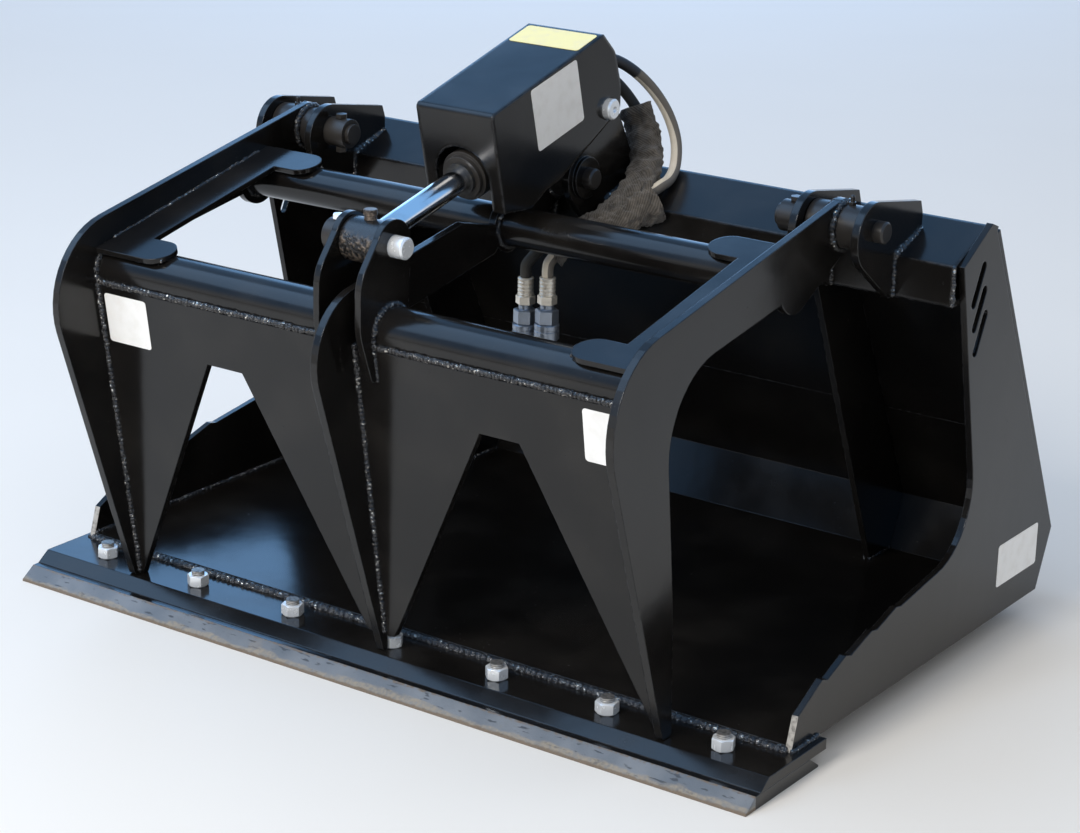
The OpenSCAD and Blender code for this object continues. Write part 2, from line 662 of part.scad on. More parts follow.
// Hinge bosses and bushes, which turn with the grapple
boss_in = ear_in_x + ear_t + side_gap;
boss_out = ear_out_x - ear_t - side_gap;
centre_boss = bracket_in_x - side_gap;
bush_r = bush_d / 2;
module hinge_boss_left() color(paint) placed() pipe(hinge, boss_d / 2, bush_r, -boss_out, -boss_in);
module hinge_boss_right() color(paint) placed() pipe(hinge, boss_d / 2, bush_r, boss_in, boss_out);
module hinge_boss_centre() color(paint) placed() pipe(hinge, boss_d / 2, bush_r, -centre_boss, centre_boss);
module hinge_bushes() color(steel) placed() {
    pipe(hinge, bush_r, pin_r + run_gap, -boss_out, -boss_in);
    pipe(hinge, bush_r, pin_r + run_gap, boss_in, boss_out);
    pipe(hinge, bush_r, pin_r + run_gap, -centre_boss, centre_boss);
}

// A grease fitting: a small hexagon with a round nipple
module grease_fitting() {
    cylinder(d = 9, h = 4, $fn = 6);
    cylinder(d = 5, h = 8);
    translate([0, 0, 8]) cylinder(d1 = 5, d2 = 3.4, h = 1.2);
    translate([0, 0, 9.2]) sphere(d = 5.6, $fn = 24);
}
fitting_sink = 0.6;
module on_boss(x) translate([x, hinge_y, hinge_z + boss_d / 2 - fitting_sink]) children();
module hinge_grease_fittings() color(zinc) placed() difference() {
    for (x = [arm_x + 10, -arm_x - 10]) on_boss(x) grease_fitting();
    bar(hinge, boss_d / 2, -boss_out, boss_out);
}

// Clevis pin, with its collar on the left
clevis_pin_out = 19;
module clevis_pin() color(zinc) placed() difference() {
    pin(clevis, -lug_x - collar_l + 4, lug_x + clevis_pin_out);
    cross_hole(clevis, clevis_bolt_x);
}
clevis_collar_l = 22;
clevis_bolt_x = -lug_x - clevis_collar_l / 2;
module clevis_collar() color(paint) placed() difference() {
    pipe(clevis, collar_d / 2, pin_r + run_gap, -lug_x - clevis_collar_l, -lug_x);
    cross_hole(clevis, clevis_bolt_x);
}
module clevis_bolt() color(zinc) placed() cross_bolt(clevis, clevis_bolt_x);

// Cylinder

barrel_r = barrel_d / 2;
cap_start = 24;
cap_l = 16;
barrel_end = gland_reach - 22;
barrel_eye_w = 2 * (bracket_in_x - side_gap);
module cylinder_barrel() color(paint) placed() difference() {
    union() {
        on_cylinder(cap_start) cylinder(r = barrel_r, h = barrel_end - cap_start);
        on_cylinder(0) cylinder(r = eye_d / 2 - 3, h = cap_start + 2);
        bar(base, eye_d / 2, -barrel_eye_w / 2, barrel_eye_w / 2);
        for (i = [0, 1]) on_cylinder(port_s[i]) translate([port_x[i], 0, 0]) rotate([-90, 0, 0])
            cylinder(r = 11, h = barrel_r + 4);
    }
    on_cylinder(cap_start + cap_l) cylinder(d = barrel_bore, h = barrel_end);
    bar(base, pin_r + run_gap, -barrel_eye_w, barrel_eye_w);
    for (i = [0, 1]) on_cylinder(port_s[i]) translate([port_x[i], 0, 0]) rotate([-90, 0, 0])
        cylinder(r = 5, h = barrel_r + 6);
}

gland_neck = 6;
module cylinder_gland() color(paint) placed() difference() {
    union() {
        on_cylinder(gland_reach - gland_l) cylinder(r = barrel_bore / 2, h = gland_l - gland_neck);
        on_cylinder(barrel_end) cylinder(r = barrel_r, h = gland_reach - gland_neck - barrel_end);
        on_cylinder(barrel_end) cylinder(r = barrel_r - 4, h = gland_reach - barrel_end);
    }
    on_cylinder(gland_reach - gland_l - 1) cylinder(r = rod_d / 2 + run_gap, h = gland_l + 2);
}
wiper_l = 4;
module rod_wiper() color("dimgray") placed() difference() {
    on_cylinder(gland_reach) cylinder(r = rod_d / 2 + 5, h = wiper_l);
    on_cylinder(gland_reach - 1) cylinder(r = rod_d / 2 + run_gap, h = wiper_l + 2);
}

module port_elbows() color(zinc) placed() for (i = [0, 1]) on_cylinder(port_s[i]) translate([port_x[i], 0, 0]) {
    rotate([-90, 0, 0]) {
        translate([0, 0, barrel_r + 4]) cylinder(d = 22, h = 6, $fn = 6);
        cylinder_top = port_rise + 8;
        translate([0, 0, barrel_r + 4]) cylinder(r = 8, h = cylinder_top - barrel_r - 4);
    }
    translate([0, port_rise, -elbow_l]) cylinder(r = 8, h = elbow_l);
    translate([0, port_rise, -elbow_l]) cylinder(r = 9.5, h = 16);
}

// Guard over the cylinder: front face, sloping top and two sides from one folded sheet
guard_front_top = [185, guard_front_z];
guard_front_foot = [212, 531.4];
guard_rear_top = [405, guard_rear_z];
guard_outline = [[212, 531.4, 0], [185, guard_front_z, 6], [405, guard_rear_z, 0], [431, 688, 25], [445.5, 645, 30],
    [445, 616.6, 8], [348, 565, 0], [322, 552, 0], [295, 545, 0], [265, 528, 0]];
guard_fold = [guard_front_foot + (guard_front_foot - guard_front_top), guard_front_top,
    guard_rear_top + (guard_rear_top - guard_front_top)];
guard_inner_top = [fold_point(guard_fold, 1, -guard_t), fold_point(guard_fold, 2, -guard_t)];
module guard_hollow() polygon([fold_point(guard_fold, 0, -guard_t), guard_inner_top[0], guard_inner_top[1],
    [guard_inner_top[1][0], guard_front_foot[1] - 150]]);
module cylinder_guard() color(paint) placed() difference() {
    plate(-guard_w / 2, guard_w) polygon(rounded(guard_outline));
    plate(-guard_w / 2 + guard_t, guard_w - 2 * guard_t) guard_hollow();
    on_cylinder(gland_reach - 35) cylinder(r = guard_slot_r, h = 90);
    on_cylinder(gland_reach - 35) translate([-guard_slot_r, -120, 0]) cube([2 * guard_slot_r, 120, 90]);
    bar(base, pin_r + run_gap, -guard_w, guard_w);
}

mount_from = 100;
mount_to = 140;
mount_w = 12;
function top_over(p) = let (a = guard_inner_top[0], b = guard_inner_top[1])
    a + (b - a) * (p[0] - a[0]) / (b[0] - a[0]);
module guard_mount() color(paint) placed() difference() {
    near = base + cyl_dir * mount_from;
    far = base + cyl_dir * mount_to;
    plate(-mount_w / 2, mount_w) polygon([near, far, top_over(far), top_over(near)]);
    on_cylinder(0) cylinder(r = barrel_r, h = gland_reach);
}

spigot_r = 9.5;
piston_front = gland_reach - gland_l - piston_gap;
module cylinder_rod() color(chrome) placed() difference() {
    union() {
        on_cylinder(piston_front) cylinder(d = rod_d, h = cyl_reach - piston_front);
        on_cylinder(piston_front - piston_l) cylinder(r = spigot_r, h = piston_l + 1);
    }
    bar(clevis, eye_d / 2, -rod_d, rod_d);
}
module cylinder_piston() color(steel) placed() difference() {
    on_cylinder(piston_front - piston_l) cylinder(r = barrel_bore / 2 - run_gap, h = piston_l);
    on_cylinder(piston_front - piston_l - 1) cylinder(r = spigot_r + run_gap, h = piston_l + 2);
}
module rod_eye() color(paint) placed()
    pipe(clevis, eye_d / 2, pin_r + eye_play, -rod_eye_w / 2, rod_eye_w / 2);
module eye_grease_fitting() color(zinc) placed() difference() {
    translate([0, clevis_y, clevis_z + eye_d / 2 - fitting_sink]) grease_fitting();
    bar(clevis, eye_d / 2, -rod_eye_w / 2, rod_eye_w / 2);
}

// Hoses with their sleeve and couplers

module hose_right() color("gray") placed() hose(route_right);
module hose_left() color("black") placed() hose(route_left);
module hose_sleeve() color("dimgray") placed() difference() {
    soft_tube(sleeve_line, sleeve_size, 12);
    hose(route_left);
    hose(route_right);
}

// A quick coupler hanging from a hose end: crimp, hexagons and locking collar
coupler_steps = [[20, 22, 48], [24, 12, 6], [17, 6, 48], [29, 18, 6], [31, 20, 48], [26, 14, 48]];
module coupler(end) translate(end) for (i = [0:len(coupler_steps) - 1]) {
    drop = [for (k = 0, sum = 0; k <= i; sum = sum + coupler_steps[k][1], k = k + 1) sum + coupler_steps[k][1]];
    step = coupler_steps[i];
    translate([0, 0, -drop[i]]) cylinder(d = step[0], h = step[1], $fn = step[2]);
}
module quick_couplers() color(zinc) placed() {
    coupler(hose_end_right);
    coupler(hose_end_left);
}

cutting_edge();
edge_bolts();
edge_nuts();
base_edge();
wear_strips();
floor_and_back();
upper_back_plate();
side_plate_left();
side_plate_right();
cross_beam();
rib_left();
rib_right();
hinge_ears_left();
hinge_ears_right();
cylinder_brackets();
attach_plate();
attach_hook();
attach_lip();
hinge_pin_left();
hinge_pin_right();
hinge_pin_centre();
cylinder_base_pin();
pin_collars();
collar_bolts();
arm_left();
arm_right();
centre_tine_plate();
lug_left();
lug_right();
front_tube_left();
front_tube_right();
rear_tube_left();
rear_tube_right();
front_plate_left();
front_plate_right();
gusset_left();
gusset_right();
hinge_boss_left();
hinge_boss_right();
hinge_boss_centre();
hinge_bushes();
hinge_grease_fittings();
clevis_pin();
clevis_collar();
clevis_bolt();
cylinder_barrel();
cylinder_gland();
rod_wiper();
port_elbows();
cylinder_guard();
guard_mount();
cylinder_rod();
cylinder_piston();
rod_eye();
eye_grease_fitting();
hose_left();
hose_right();
hose_sleeve();
quick_couplers();
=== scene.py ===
import math

import bpy
from mathutils import Matrix, Vector, noise


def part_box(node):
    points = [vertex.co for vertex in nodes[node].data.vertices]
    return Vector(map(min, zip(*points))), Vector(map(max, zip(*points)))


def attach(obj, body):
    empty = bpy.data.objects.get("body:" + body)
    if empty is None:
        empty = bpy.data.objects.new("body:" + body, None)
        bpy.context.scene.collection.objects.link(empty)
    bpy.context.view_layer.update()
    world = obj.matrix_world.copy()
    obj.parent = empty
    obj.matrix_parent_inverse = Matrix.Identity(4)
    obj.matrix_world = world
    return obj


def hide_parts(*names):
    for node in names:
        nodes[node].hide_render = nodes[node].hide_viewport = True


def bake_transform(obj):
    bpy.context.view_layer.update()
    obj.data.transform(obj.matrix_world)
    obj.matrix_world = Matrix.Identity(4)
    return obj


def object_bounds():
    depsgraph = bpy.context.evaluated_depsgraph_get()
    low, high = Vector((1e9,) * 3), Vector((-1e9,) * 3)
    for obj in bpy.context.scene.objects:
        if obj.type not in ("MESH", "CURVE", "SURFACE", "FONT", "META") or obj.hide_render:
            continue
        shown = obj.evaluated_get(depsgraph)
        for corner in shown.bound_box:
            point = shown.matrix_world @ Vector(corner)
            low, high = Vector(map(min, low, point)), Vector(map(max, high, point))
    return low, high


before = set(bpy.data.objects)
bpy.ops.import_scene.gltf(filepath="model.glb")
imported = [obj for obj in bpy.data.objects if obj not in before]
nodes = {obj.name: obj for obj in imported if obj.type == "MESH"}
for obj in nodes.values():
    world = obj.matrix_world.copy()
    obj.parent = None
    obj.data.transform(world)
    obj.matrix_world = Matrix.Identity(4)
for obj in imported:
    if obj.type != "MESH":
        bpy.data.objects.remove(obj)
cad_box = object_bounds()


# Camera
# It stands to the right of the middle and well above the bucket, at the photograph's viewing
# angle, with a long lens and the slight roll that the bucket's upright edges show.
camera_place = Vector((1.84026, -2.62381, 1.31106))
camera_turn = math.radians(35.006)
camera_tilt = math.radians(18.542)
camera_roll = math.radians(1.254)
back = Vector((
    math.sin(camera_turn) * math.cos(camera_tilt),
    -math.cos(camera_turn) * math.cos(camera_tilt),
    math.sin(camera_tilt),
))
level = Vector((0, 0, 1)).cross(back).normalized()
upright = back.cross(level)
across = math.cos(camera_roll) * level + math.sin(camera_roll) * upright
above = math.cos(camera_roll) * upright - math.sin(camera_roll) * level
bpy.ops.object.camera_add()
camera = bpy.context.object
camera.name = "photo_camera"
camera.data.sensor_width = 36
camera.data.lens = 91.383
camera.data.clip_start = 0.1
camera.matrix_world = Matrix.Translation(camera_place) @ Matrix((across, above, back)).transposed().to_4x4()
bpy.context.scene.camera = camera


# Hoses
# Two black rubber hydraulic hoses leave the elbows on top of the cylinder, loop round behind
# the guard and come back under the rear tube. The rubber is wrapped and dull, and dust makes
# the outer hose grey. A paler strip along one side of each hose is a painted highlight, and the
# first stretch from the cylinder is kept dark and free of dust as a painted shadow of the guard.
tip_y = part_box("cutting_edge")[0].y
hose_d = 0.014
right_route = [
    (0.016, 0.37874, 0.66056), (0.016, 0.410, 0.668), (0.017, 0.442, 0.673), (0.024, 0.474, 0.668),
    (0.036, 0.502, 0.651), (0.051, 0.523, 0.626), (0.066, 0.534, 0.597), (0.080, 0.532, 0.567),
    (0.092, 0.514, 0.542), (0.102, 0.486, 0.530), (0.106, 0.456, 0.526), (0.099, 0.428, 0.516),
    (0.085, 0.400, 0.500), (0.064, 0.375, 0.481), (0.041, 0.358, 0.464), (0.027, 0.346, 0.444),
    (0.025, 0.343, 0.434), (0.025, 0.343, 0.424),
]
left_route = [
    (-0.016, 0.26218, 0.63203), (-0.016, 0.292, 0.640), (-0.016, 0.326, 0.648), (-0.016, 0.360, 0.656),
    (-0.016, 0.394, 0.663), (-0.015, 0.428, 0.666), (-0.008, 0.462, 0.661), (0.004, 0.490, 0.645),
    (0.020, 0.510, 0.620), (0.038, 0.518, 0.591), (0.055, 0.513, 0.563), (0.070, 0.495, 0.542),
    (0.080, 0.466, 0.531), (0.078, 0.436, 0.521), (0.067, 0.408, 0.503), (0.048, 0.384, 0.482),
    (0.022, 0.372, 0.468), (0.002, 0.358, 0.450), (-0.010, 0.351, 0.434), (-0.012, 0.350, 0.426),
    (-0.012, 0.350, 0.416),
]


def place(x, y, z):
    """A point in metres, with y counted back from the tip of the cutting edge."""
    return Vector((x, y + tip_y, z))


def smooth_line(points, steps):
    """A smooth line through the points, with this many steps from each to the next."""
    spread = [2 * points[0] - points[1], *points, 2 * points[-1] - points[-2]]
    line = []
    for a, b, c, d in zip(spread, spread[1:], spread[2:], spread[3:]):
        for step in range(steps):
            share = step / steps
            bend = (2 * a - 5 * b + 4 * c - d) * share * share
            twist = (3 * b - a - 3 * c + d) * share * share * share
            line.append((2 * b + (c - a) * share + bend + twist) / 2)
    line.append(points[-1])
    return line


def tube(name, line, reach, sides, closed=True):
    """A tube along a line. reach gives its two half widths at a share of the length and an angle."""
    corners = []
    faces = []
    gone = [0.0]
    for a, b in zip(line, line[1:]):
        gone.append(gone[-1] + (b - a).length)
    for i, middle in enumerate(line):
        ahead = (line[min(i + 1, len(line) - 1)] - line[max(i - 1, 0)]).normalized()
        up = Vector((1, 0, 0)).cross(ahead).normalized()
        side = ahead.cross(up)
        for k in range(sides):
            angle = 2 * math.pi * k / sides
            high, wide = reach(gone[i] / gone[-1], angle)
            corners.append(middle + up * high * math.cos(angle) + side * wide * math.sin(angle))
    for i in range(len(line) - 1):
        for k in range(sides):
            here = i * sides + k
            beside = i * sides + (k + 1) % sides
            faces.append((here, beside, beside + sides, here + sides))
    if closed:
        faces.append(tuple(range(sides - 1, -1, -1)))
        faces.append(tuple(range((len(line) - 1) * sides, len(line) * sides)))
    mesh = bpy.data.meshes.new(name)
    mesh.from_pydata(corners, [], faces)
    unwrapped = mesh.uv_layers.new(name="UVMap")
    for face in mesh.polygons:
        for loop in face.loop_indices:
            ring, k = divmod(mesh.loops[loop].vertex_index, sides)
            turn = 1.0 if k == 0 and face.index % sides == sides - 1 else k / sides
            unwrapped.data[loop].uv = (gone[ring], turn)
    mesh.shade_smooth()
    piece = bpy.data.objects.new(name, mesh)
    bpy.context.scene.collection.objects.link(piece)
    return piece


class Shade:
    """One socket of a finish. Sums, differences and products of it add their Math nodes."""

    def __init__(self, tree, socket=None):
        self.tree = tree
        self.socket = socket

    def node(self, kind, inputs=None, output=0, **settings):
        """Adds a node: its settings first, then the values and links of its sockets."""
        made = self.tree.nodes.new(kind)
        for name, value in settings.items():
            setattr(made, name, value)
        for name, value in (inputs or {}).items():
            if isinstance(value, Shade):
                self.tree.links.new(value.socket, made.inputs[name])
            else:
                made.inputs[name].default_value = value
        return Shade(self.tree, made.outputs[output])

    def maths(self, operation, first, second=0.0):
        """One Math node on one or two values."""
        return self.node("ShaderNodeMath", {0: first, 1: second}, operation=operation)

    def __add__(self, other):
        return self.maths("ADD", self, other)

    def __sub__(self, other):
        return self.maths("SUBTRACT", self, other)

    def __rsub__(self, other):
        return self.maths("SUBTRACT", other, self)

    def __mul__(self, other):
        return self.maths("MULTIPLY", self, other)

    __radd__ = __add__
    __rmul__ = __mul__

    def step(self, low, high):
        """Rises smoothly from 0 to 1 as the value goes from low to high."""
        limits = {"Value": self, "From Min": low, "From Max": high}
        return self.node("ShaderNodeMapRange", limits, interpolation_type="SMOOTHSTEP")

    def mottle(self, place, size, detail=3.0):
        """Cloudy variation whose patches have this size in metres."""
        inputs = {"Vector": place, "Scale": 1 / size, "Detail": detail}
        return self.node("ShaderNodeTexNoise", inputs)

    def colour(self, first, second, share):
        """From the first colour to the second as the share goes from 0 to 1."""
        inputs = {0: share, 6: first, 7: second}
        return self.node("ShaderNodeMix", inputs, output=2, data_type="RGBA")

    def bump(self, height, distance, normal=None):
        """Raises the surface by the height times the distance in metres."""
        inputs = {"Height": height, "Distance": distance}
        if normal:
            inputs["Normal"] = normal
        return self.node("ShaderNodeBump", inputs)


def new_finish(name):
    """An empty finish and the shade that starts its pattern."""
    made = bpy.data.materials.new(name)
    made.use_nodes = True
    return made, Shade(made.node_tree)


def set_finish(made, **sockets):
    """Gives the finish's shader its values and patterns, by socket name with _ for a space."""
    shader = made.node_tree.nodes["Principled BSDF"]
    for name, value in sockets.items():
        socket = shader.inputs[name.replace("_", " ")]
        if isinstance(value, Shade):
            made.node_tree.links.new(value.socket, socket)
        else:
            socket.default_value = value


def dress(piece, made):
    """Gives a piece one finish all over."""
    piece.data.materials.clear()
    piece.data.materials.append(made)


def hose_rubber(name, dark, dusty, pale, guard_shadow_length):
    """Wrapped dusty rubber, with a painted highlight along one side and a painted guard shadow near the
    cylinder.
    """
    made, shade = new_finish(name)
    spread = shade.node("ShaderNodeUVMap", uv_map="UVMap")
    spot = shade.node("ShaderNodeTexCoord", output="Object")
    along = shade.node("ShaderNodeSeparateXYZ", {0: spread}, output="X")
    around = shade.node("ShaderNodeSeparateXYZ", {0: spread}, output="Y")
    wrap_rate, wrap_slant = 2600, 44
    wrap = shade.maths("SINE", along * wrap_rate + around * wrap_slant)
    fine = shade.mottle(spot, 0.0012, 2)
    # Dust starts only past the first stretch from the cylinder, which stays dark as a painted shadow of the
    # guard.
    dust = (shade.mottle(spot, 0.02, 5) * 0.3 + 0.7) * along.step(guard_shadow_length, guard_shadow_length + 0.004)
    # A pale strip along one side of the hose is a painted highlight.
    inner_highlight = around.step(0.395, 0.41) * (1 - around.step(0.70, 0.72))
    rubber = shade.colour(dark, dusty, dust)
    set_finish(
        made,
        Base_Color=shade.colour(rubber, pale, dust * inner_highlight),
        Roughness=0.5 + dust * 0.25,
        Normal=shade.bump(wrap * 0.35 + fine, 0.00025),
        Specular_IOR_Level=0.4,
    )
    return made


def hose_reach(share, angle):
    """A hose is round and equally thick all along."""
    return hose_d / 2, hose_d / 2


black = (0.014, 0.014, 0.016, 1)
dusty_black, highlight_black = (0.035, 0.033, 0.03, 1), (0.05, 0.047, 0.04, 1)
dusty_grey, highlight_beige = (0.17, 0.152, 0.13, 1), (0.78, 0.71, 0.59, 1)
# Each hose's pale colour is a painted highlight, and its dark first stretch is a painted guard shadow.
left_rubber = hose_rubber("hose_rubber_left", black, dusty_black, highlight_black, guard_shadow_length=0.2)
right_rubber = hose_rubber("hose_rubber_right", black, dusty_grey, highlight_beige, guard_shadow_length=0.135)
still_end = place(0, 0.450, 0.540)
swinging_end = place(0, 0.4052, 0.6521)
hose_lines = {}
hoses = {}
for side, route, rubber in (("left", left_route, left_rubber), ("right", right_route, right_rubber)):
    hose_lines[side] = smooth_line([place(*point) for point in route], steps=6)
    hoses[side] = tube(f"hydraulic_hose_{side}", hose_lines[side], hose_reach, sides=20)
    dress(hoses[side], rubber)
    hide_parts(f"hose_{side}")
    "black_rubber" if side == "left" else "grey_rubber"
    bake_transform(hoses[side])


# Quick couplers
# Zinc plated steel couplings on the hose ends: a crimped ferrule with ridges, a hexagon, a
# neck, the big hexagon of the body, a locking sleeve with a groove round it, and a plain nose.
# The upper parts take a pale beige copy of the zinc as painted light, and the lower parts a
# dark bluish copy as painted shade.
def zinc_plate(name, tint, dull, mirrored, rounding):
    """Zinc plating, brighter or duller, with faint stains and edges rounded to a radius in metres."""
    made, shade = new_finish(name)
    spot = shade.node("ShaderNodeTexCoord", output="Object")
    stain = shade.mottle(spot, 0.007, 3).step(0.45, 0.85)
    grain = shade.mottle(spot, 0.0006, 2)
    edges = shade.node("ShaderNodeBevel", {"Radius": rounding}, samples=6)
    worn = shade.colour(tint, (0.42, 0.39, 0.34, 1), stain * 0.25)
    set_finish(
        made,
        Base_Color=worn,
        Metallic=mirrored,
        Roughness=dull + stain * 0.2,
        Normal=shade.bump(grain, 0.00004, edges),
    )
    return made


zinc = zinc_plate("bright_zinc", (0.88, 0.91, 0.94, 1), 0.2, 0.4, 0.0006)
# A pale beige copy for the ferrule and its hexagon is painted light; a dark bluish copy for the rest is
# painted shade.
lit_zinc = zinc_plate("ferrule_zinc_painted_light", (0.78, 0.72, 0.62, 1), 0.3, 0.6, 0.0002)
shaded_zinc = zinc_plate("coupler_zinc_painted_shade", (0.30, 0.34, 0.40, 1), 0.3, 0.75, 0.0002)


def deselect():
    """Leaves nothing selected, in object mode."""
    if bpy.context.object and bpy.context.object.mode != "OBJECT":
        bpy.ops.object.mode_set(mode="OBJECT")
    bpy.ops.object.select_all(action="DESELECT")


def settle(name):
    """Names the piece just made and puts its place into its mesh."""
    piece = bpy.context.object
    piece.name = name
    piece.data.name = name
    bpy.ops.object.transform_apply(location=True, rotation=True, scale=True)
    return piece


def turned(name, top, steps, sides):
    """A round or six-sided piece that hangs down from a point, drawn out ring by ring.
    Each step is how far down it goes and the radius there."""
    deselect()
    start = top - Vector((0, 0, steps[0][0]))
    bpy.ops.mesh.primitive_circle_add(vertices=sides, radius=steps[0][1], fill_type="NGON", location=start)
    bpy.ops.object.mode_set(mode="EDIT")
    bpy.ops.mesh.select_all(action="SELECT")
    depth, radius = steps[0]
    for deeper, wider in steps[1:]:
        bpy.ops.mesh.extrude_region_move(TRANSFORM_OT_translate={"value": (0, 0, depth - deeper)})
        share = wider / radius
        ring_place = top - Vector((0, 0, deeper))
        bpy.ops.transform.resize(value=(share, share, 1), center_override=ring_place)
        depth, radius = deeper, wider
    bpy.ops.mesh.select_all(action="SELECT")
    bpy.ops.mesh.normals_make_consistent(inside=False)
    bpy.ops.object.mode_set(mode="OBJECT")
    bpy.ops.object.shade_smooth_by_angle(angle=math.radians(35))
    return settle(name)


def joined(name, parts):
    """Several parts as one piece."""
    deselect()
    for part in parts:
        part.select_set(True)
    bpy.context.view_layer.objects.active = parts[0]
    bpy.ops.object.join()
    return settle(name)


ridge_pitch = 0.0048
ferrule = [(0, 0.0082), (0.0008, 0.0098)]
for ridge in range(4):
    ridge_top = 0.0025 + ridge * ridge_pitch
    ferrule += [(ridge_top, 0.0100), (ridge_top + 0.0006, 0.0093)]
    ferrule += [(ridge_top + 0.0025, 0.0093), (ridge_top + 0.0031, 0.0100)]
ferrule += [(0.0220, 0.0100), (0.0222, 0.0086)]
small_nut = [(0.0222, 0.0104), (0.0232, 0.0120), (0.0330, 0.0120), (0.0340, 0.0104)]
neck = [(0.0338, 0.0085), (0.0402, 0.0085)]
body_nut = [(0.0400, 0.0128), (0.0412, 0.0145), (0.0568, 0.0145), (0.0580, 0.0128)]
sleeve_ring = [(0.0578, 0.0140), (0.0590, 0.0155), (0.0640, 0.0155), (0.0646, 0.0146)]
sleeve_ring += [(0.0664, 0.0146), (0.0670, 0.0155), (0.0765, 0.0155), (0.0780, 0.0140)]
nose = [(0.0778, 0.0122), (0.0788, 0.0130), (0.0905, 0.0130), (0.0920, 0.0118)]
nose += [(0.0920, 0.0088), (0.0860, 0.0086)]
coupler_parts = (
    (ferrule, 32, lit_zinc), (small_nut, 6, lit_zinc), (neck, 24, shaded_zinc),
    (body_nut, 6, shaded_zinc), (sleeve_ring, 36, shaded_zinc), (nose, 36, shaded_zinc),
)
couplers = {}
for side, hose_line in hose_lines.items():
    parts = []
    for steps, sides, plating in coupler_parts:
        part = turned("coupler_part", hose_line[-1], steps, sides)
        dress(part, plating)
        parts.append(part)
    couplers[side] = joined(f"quick_coupler_{side}", parts)
    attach(couplers[side], "bucket")
    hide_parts("quick_couplers")


def line_length(line):
    """How long a line of points is."""
    return sum((b - a).length for a, b in zip(line, line[1:]))


for side, line in hose_lines.items():
    line_length(line)


# Protective sleeves
# Each hose has a loose sleeve of coarse twill cloth where it bends under the guard. They are
# too wide and too long, so they lie flat in crumpled folds. The long one holds both hoses
# further down, and the short cuff on the outer hose has its mouth turned out. Near the guard,
# one side of each sleeve is painted almost black as a painted shadow of the guard.
sleeve_line = [
    (0.030, 0.514, 0.605), (0.043, 0.512, 0.575), (0.061, 0.494, 0.546), (0.077, 0.468, 0.532),
    (0.083, 0.445, 0.525), (0.084, 0.420, 0.511), (0.076, 0.398, 0.496), (0.059, 0.378, 0.479),
    (0.036, 0.365, 0.467), (0.022, 0.357, 0.456),
]
sleeve_high = [13, 12, 13, 12, 11, 12, 12, 13, 13, 13]
sleeve_wide = [19, 22, 22, 19, 19, 21, 21, 21, 23, 24]
cuff_line = [
    (0.1130, 0.4370, 0.5120), (0.1080, 0.4290, 0.5080), (0.1000, 0.4180, 0.5030), (0.0900, 0.4040, 0.4960),
    (0.0740, 0.3850, 0.4870), (0.0600, 0.3720, 0.4780),
]
cuff_high = [24, 20, 18, 16, 13, 12]
cuff_wide = [25, 21, 20, 18, 14, 12]


def cloth_reach(heights, widths, seed):
    """Gives the half height and half width of a crumpled sleeve along and round it."""

    def reach(share, angle):
        along = share * (len(heights) - 1)
        low = min(int(along), len(heights) - 2)
        part = along - low
        high = heights[low] * (1 - part) + heights[low + 1] * part
        wide = widths[low] * (1 - part) + widths[low + 1] * part
        ring = Vector((math.cos(angle) * 1.5 + seed, math.sin(angle) * 1.5, along * 1.9))
        crumple = noise.noise(ring) * 5.0 + noise.noise(ring * 2.6) * 2.2
        slope = along * 9 + 2.2 * math.sin(angle * 2 + seed) + 1.6 * math.sin(angle * 3 + 2)
        gather = (1 - abs(math.sin(slope / 2))) ** 2 * 2.0
        return (high + crumple + gather) / 1000, (wide + crumple + gather) / 1000

    return reach


cloth, shade = new_finish("sleeve_cloth")
spread = shade.node("ShaderNodeUVMap", uv_map="UVMap")
spot = shade.node("ShaderNodeTexCoord", output="Object")
along = shade.node("ShaderNodeSeparateXYZ", {0: spread}, output="X")
around = shade.node("ShaderNodeSeparateXYZ", {0: spread}, output="Y")
rib_rate, rib_slant, weft_rate = 1570, 204, 800
rib = shade.maths("SINE", along * rib_rate + around * rib_slant).step(-0.6, 0.7)
weft = shade.maths("SINE", around * weft_rate)
fuzz = shade.mottle(spot, 0.0015, 4)
faded = shade.mottle(spot, 0.018, 4).step(0.35, 0.7)
pale_share = faded * 0.35 + rib * 0.32 + fuzz * 0.3
threads = shade.colour((0.022, 0.020, 0.018, 1), (0.20, 0.18, 0.158, 1), pale_share)
# The first stretch of each sleeve is painted almost black on one side: a painted shadow of the guard.
painted_guard_shadow = around.step(0.48, 0.58) * (1 - around.step(0.90, 0.97)) * (1 - along.step(0.05, 0.10))
set_finish(
    cloth,
    Base_Color=shade.colour(threads, (0.012, 0.011, 0.011, 1), painted_guard_shadow * 0.9),
    Roughness=0.92,
    Normal=shade.bump(rib * 0.4 + weft * 0.25 + fuzz, 0.0006),
    Specular_IOR_Level=0.15,
    Sheen_Weight=0.25,
)
sleeves = (
    ("hose_sleeve_long", sleeve_line, cloth_reach(sleeve_high, sleeve_wide, seed=0.0), (0.135, 0.24)),
    ("hose_sleeve_cuff", cuff_line, cloth_reach(cuff_high, cuff_wide, seed=5.0), (0.12, 0.107)),
)
for name, route, reach, flat in sleeves:
    line = smooth_line([place(*point) for point in route], steps=16)
    sleeve = tube(name, line, reach, sides=64, closed=False)
    dress(sleeve, cloth)
    bpy.context.view_layer.objects.active = sleeve
    wall = sleeve.modifiers.new("cloth_wall", "SOLIDIFY")
    wall.thickness = 0.0012
    wall.offset = -1
    bpy.ops.object.modifier_apply(modifier="cloth_wall")
    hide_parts("hose_sleeve")
    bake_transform(sleeve)
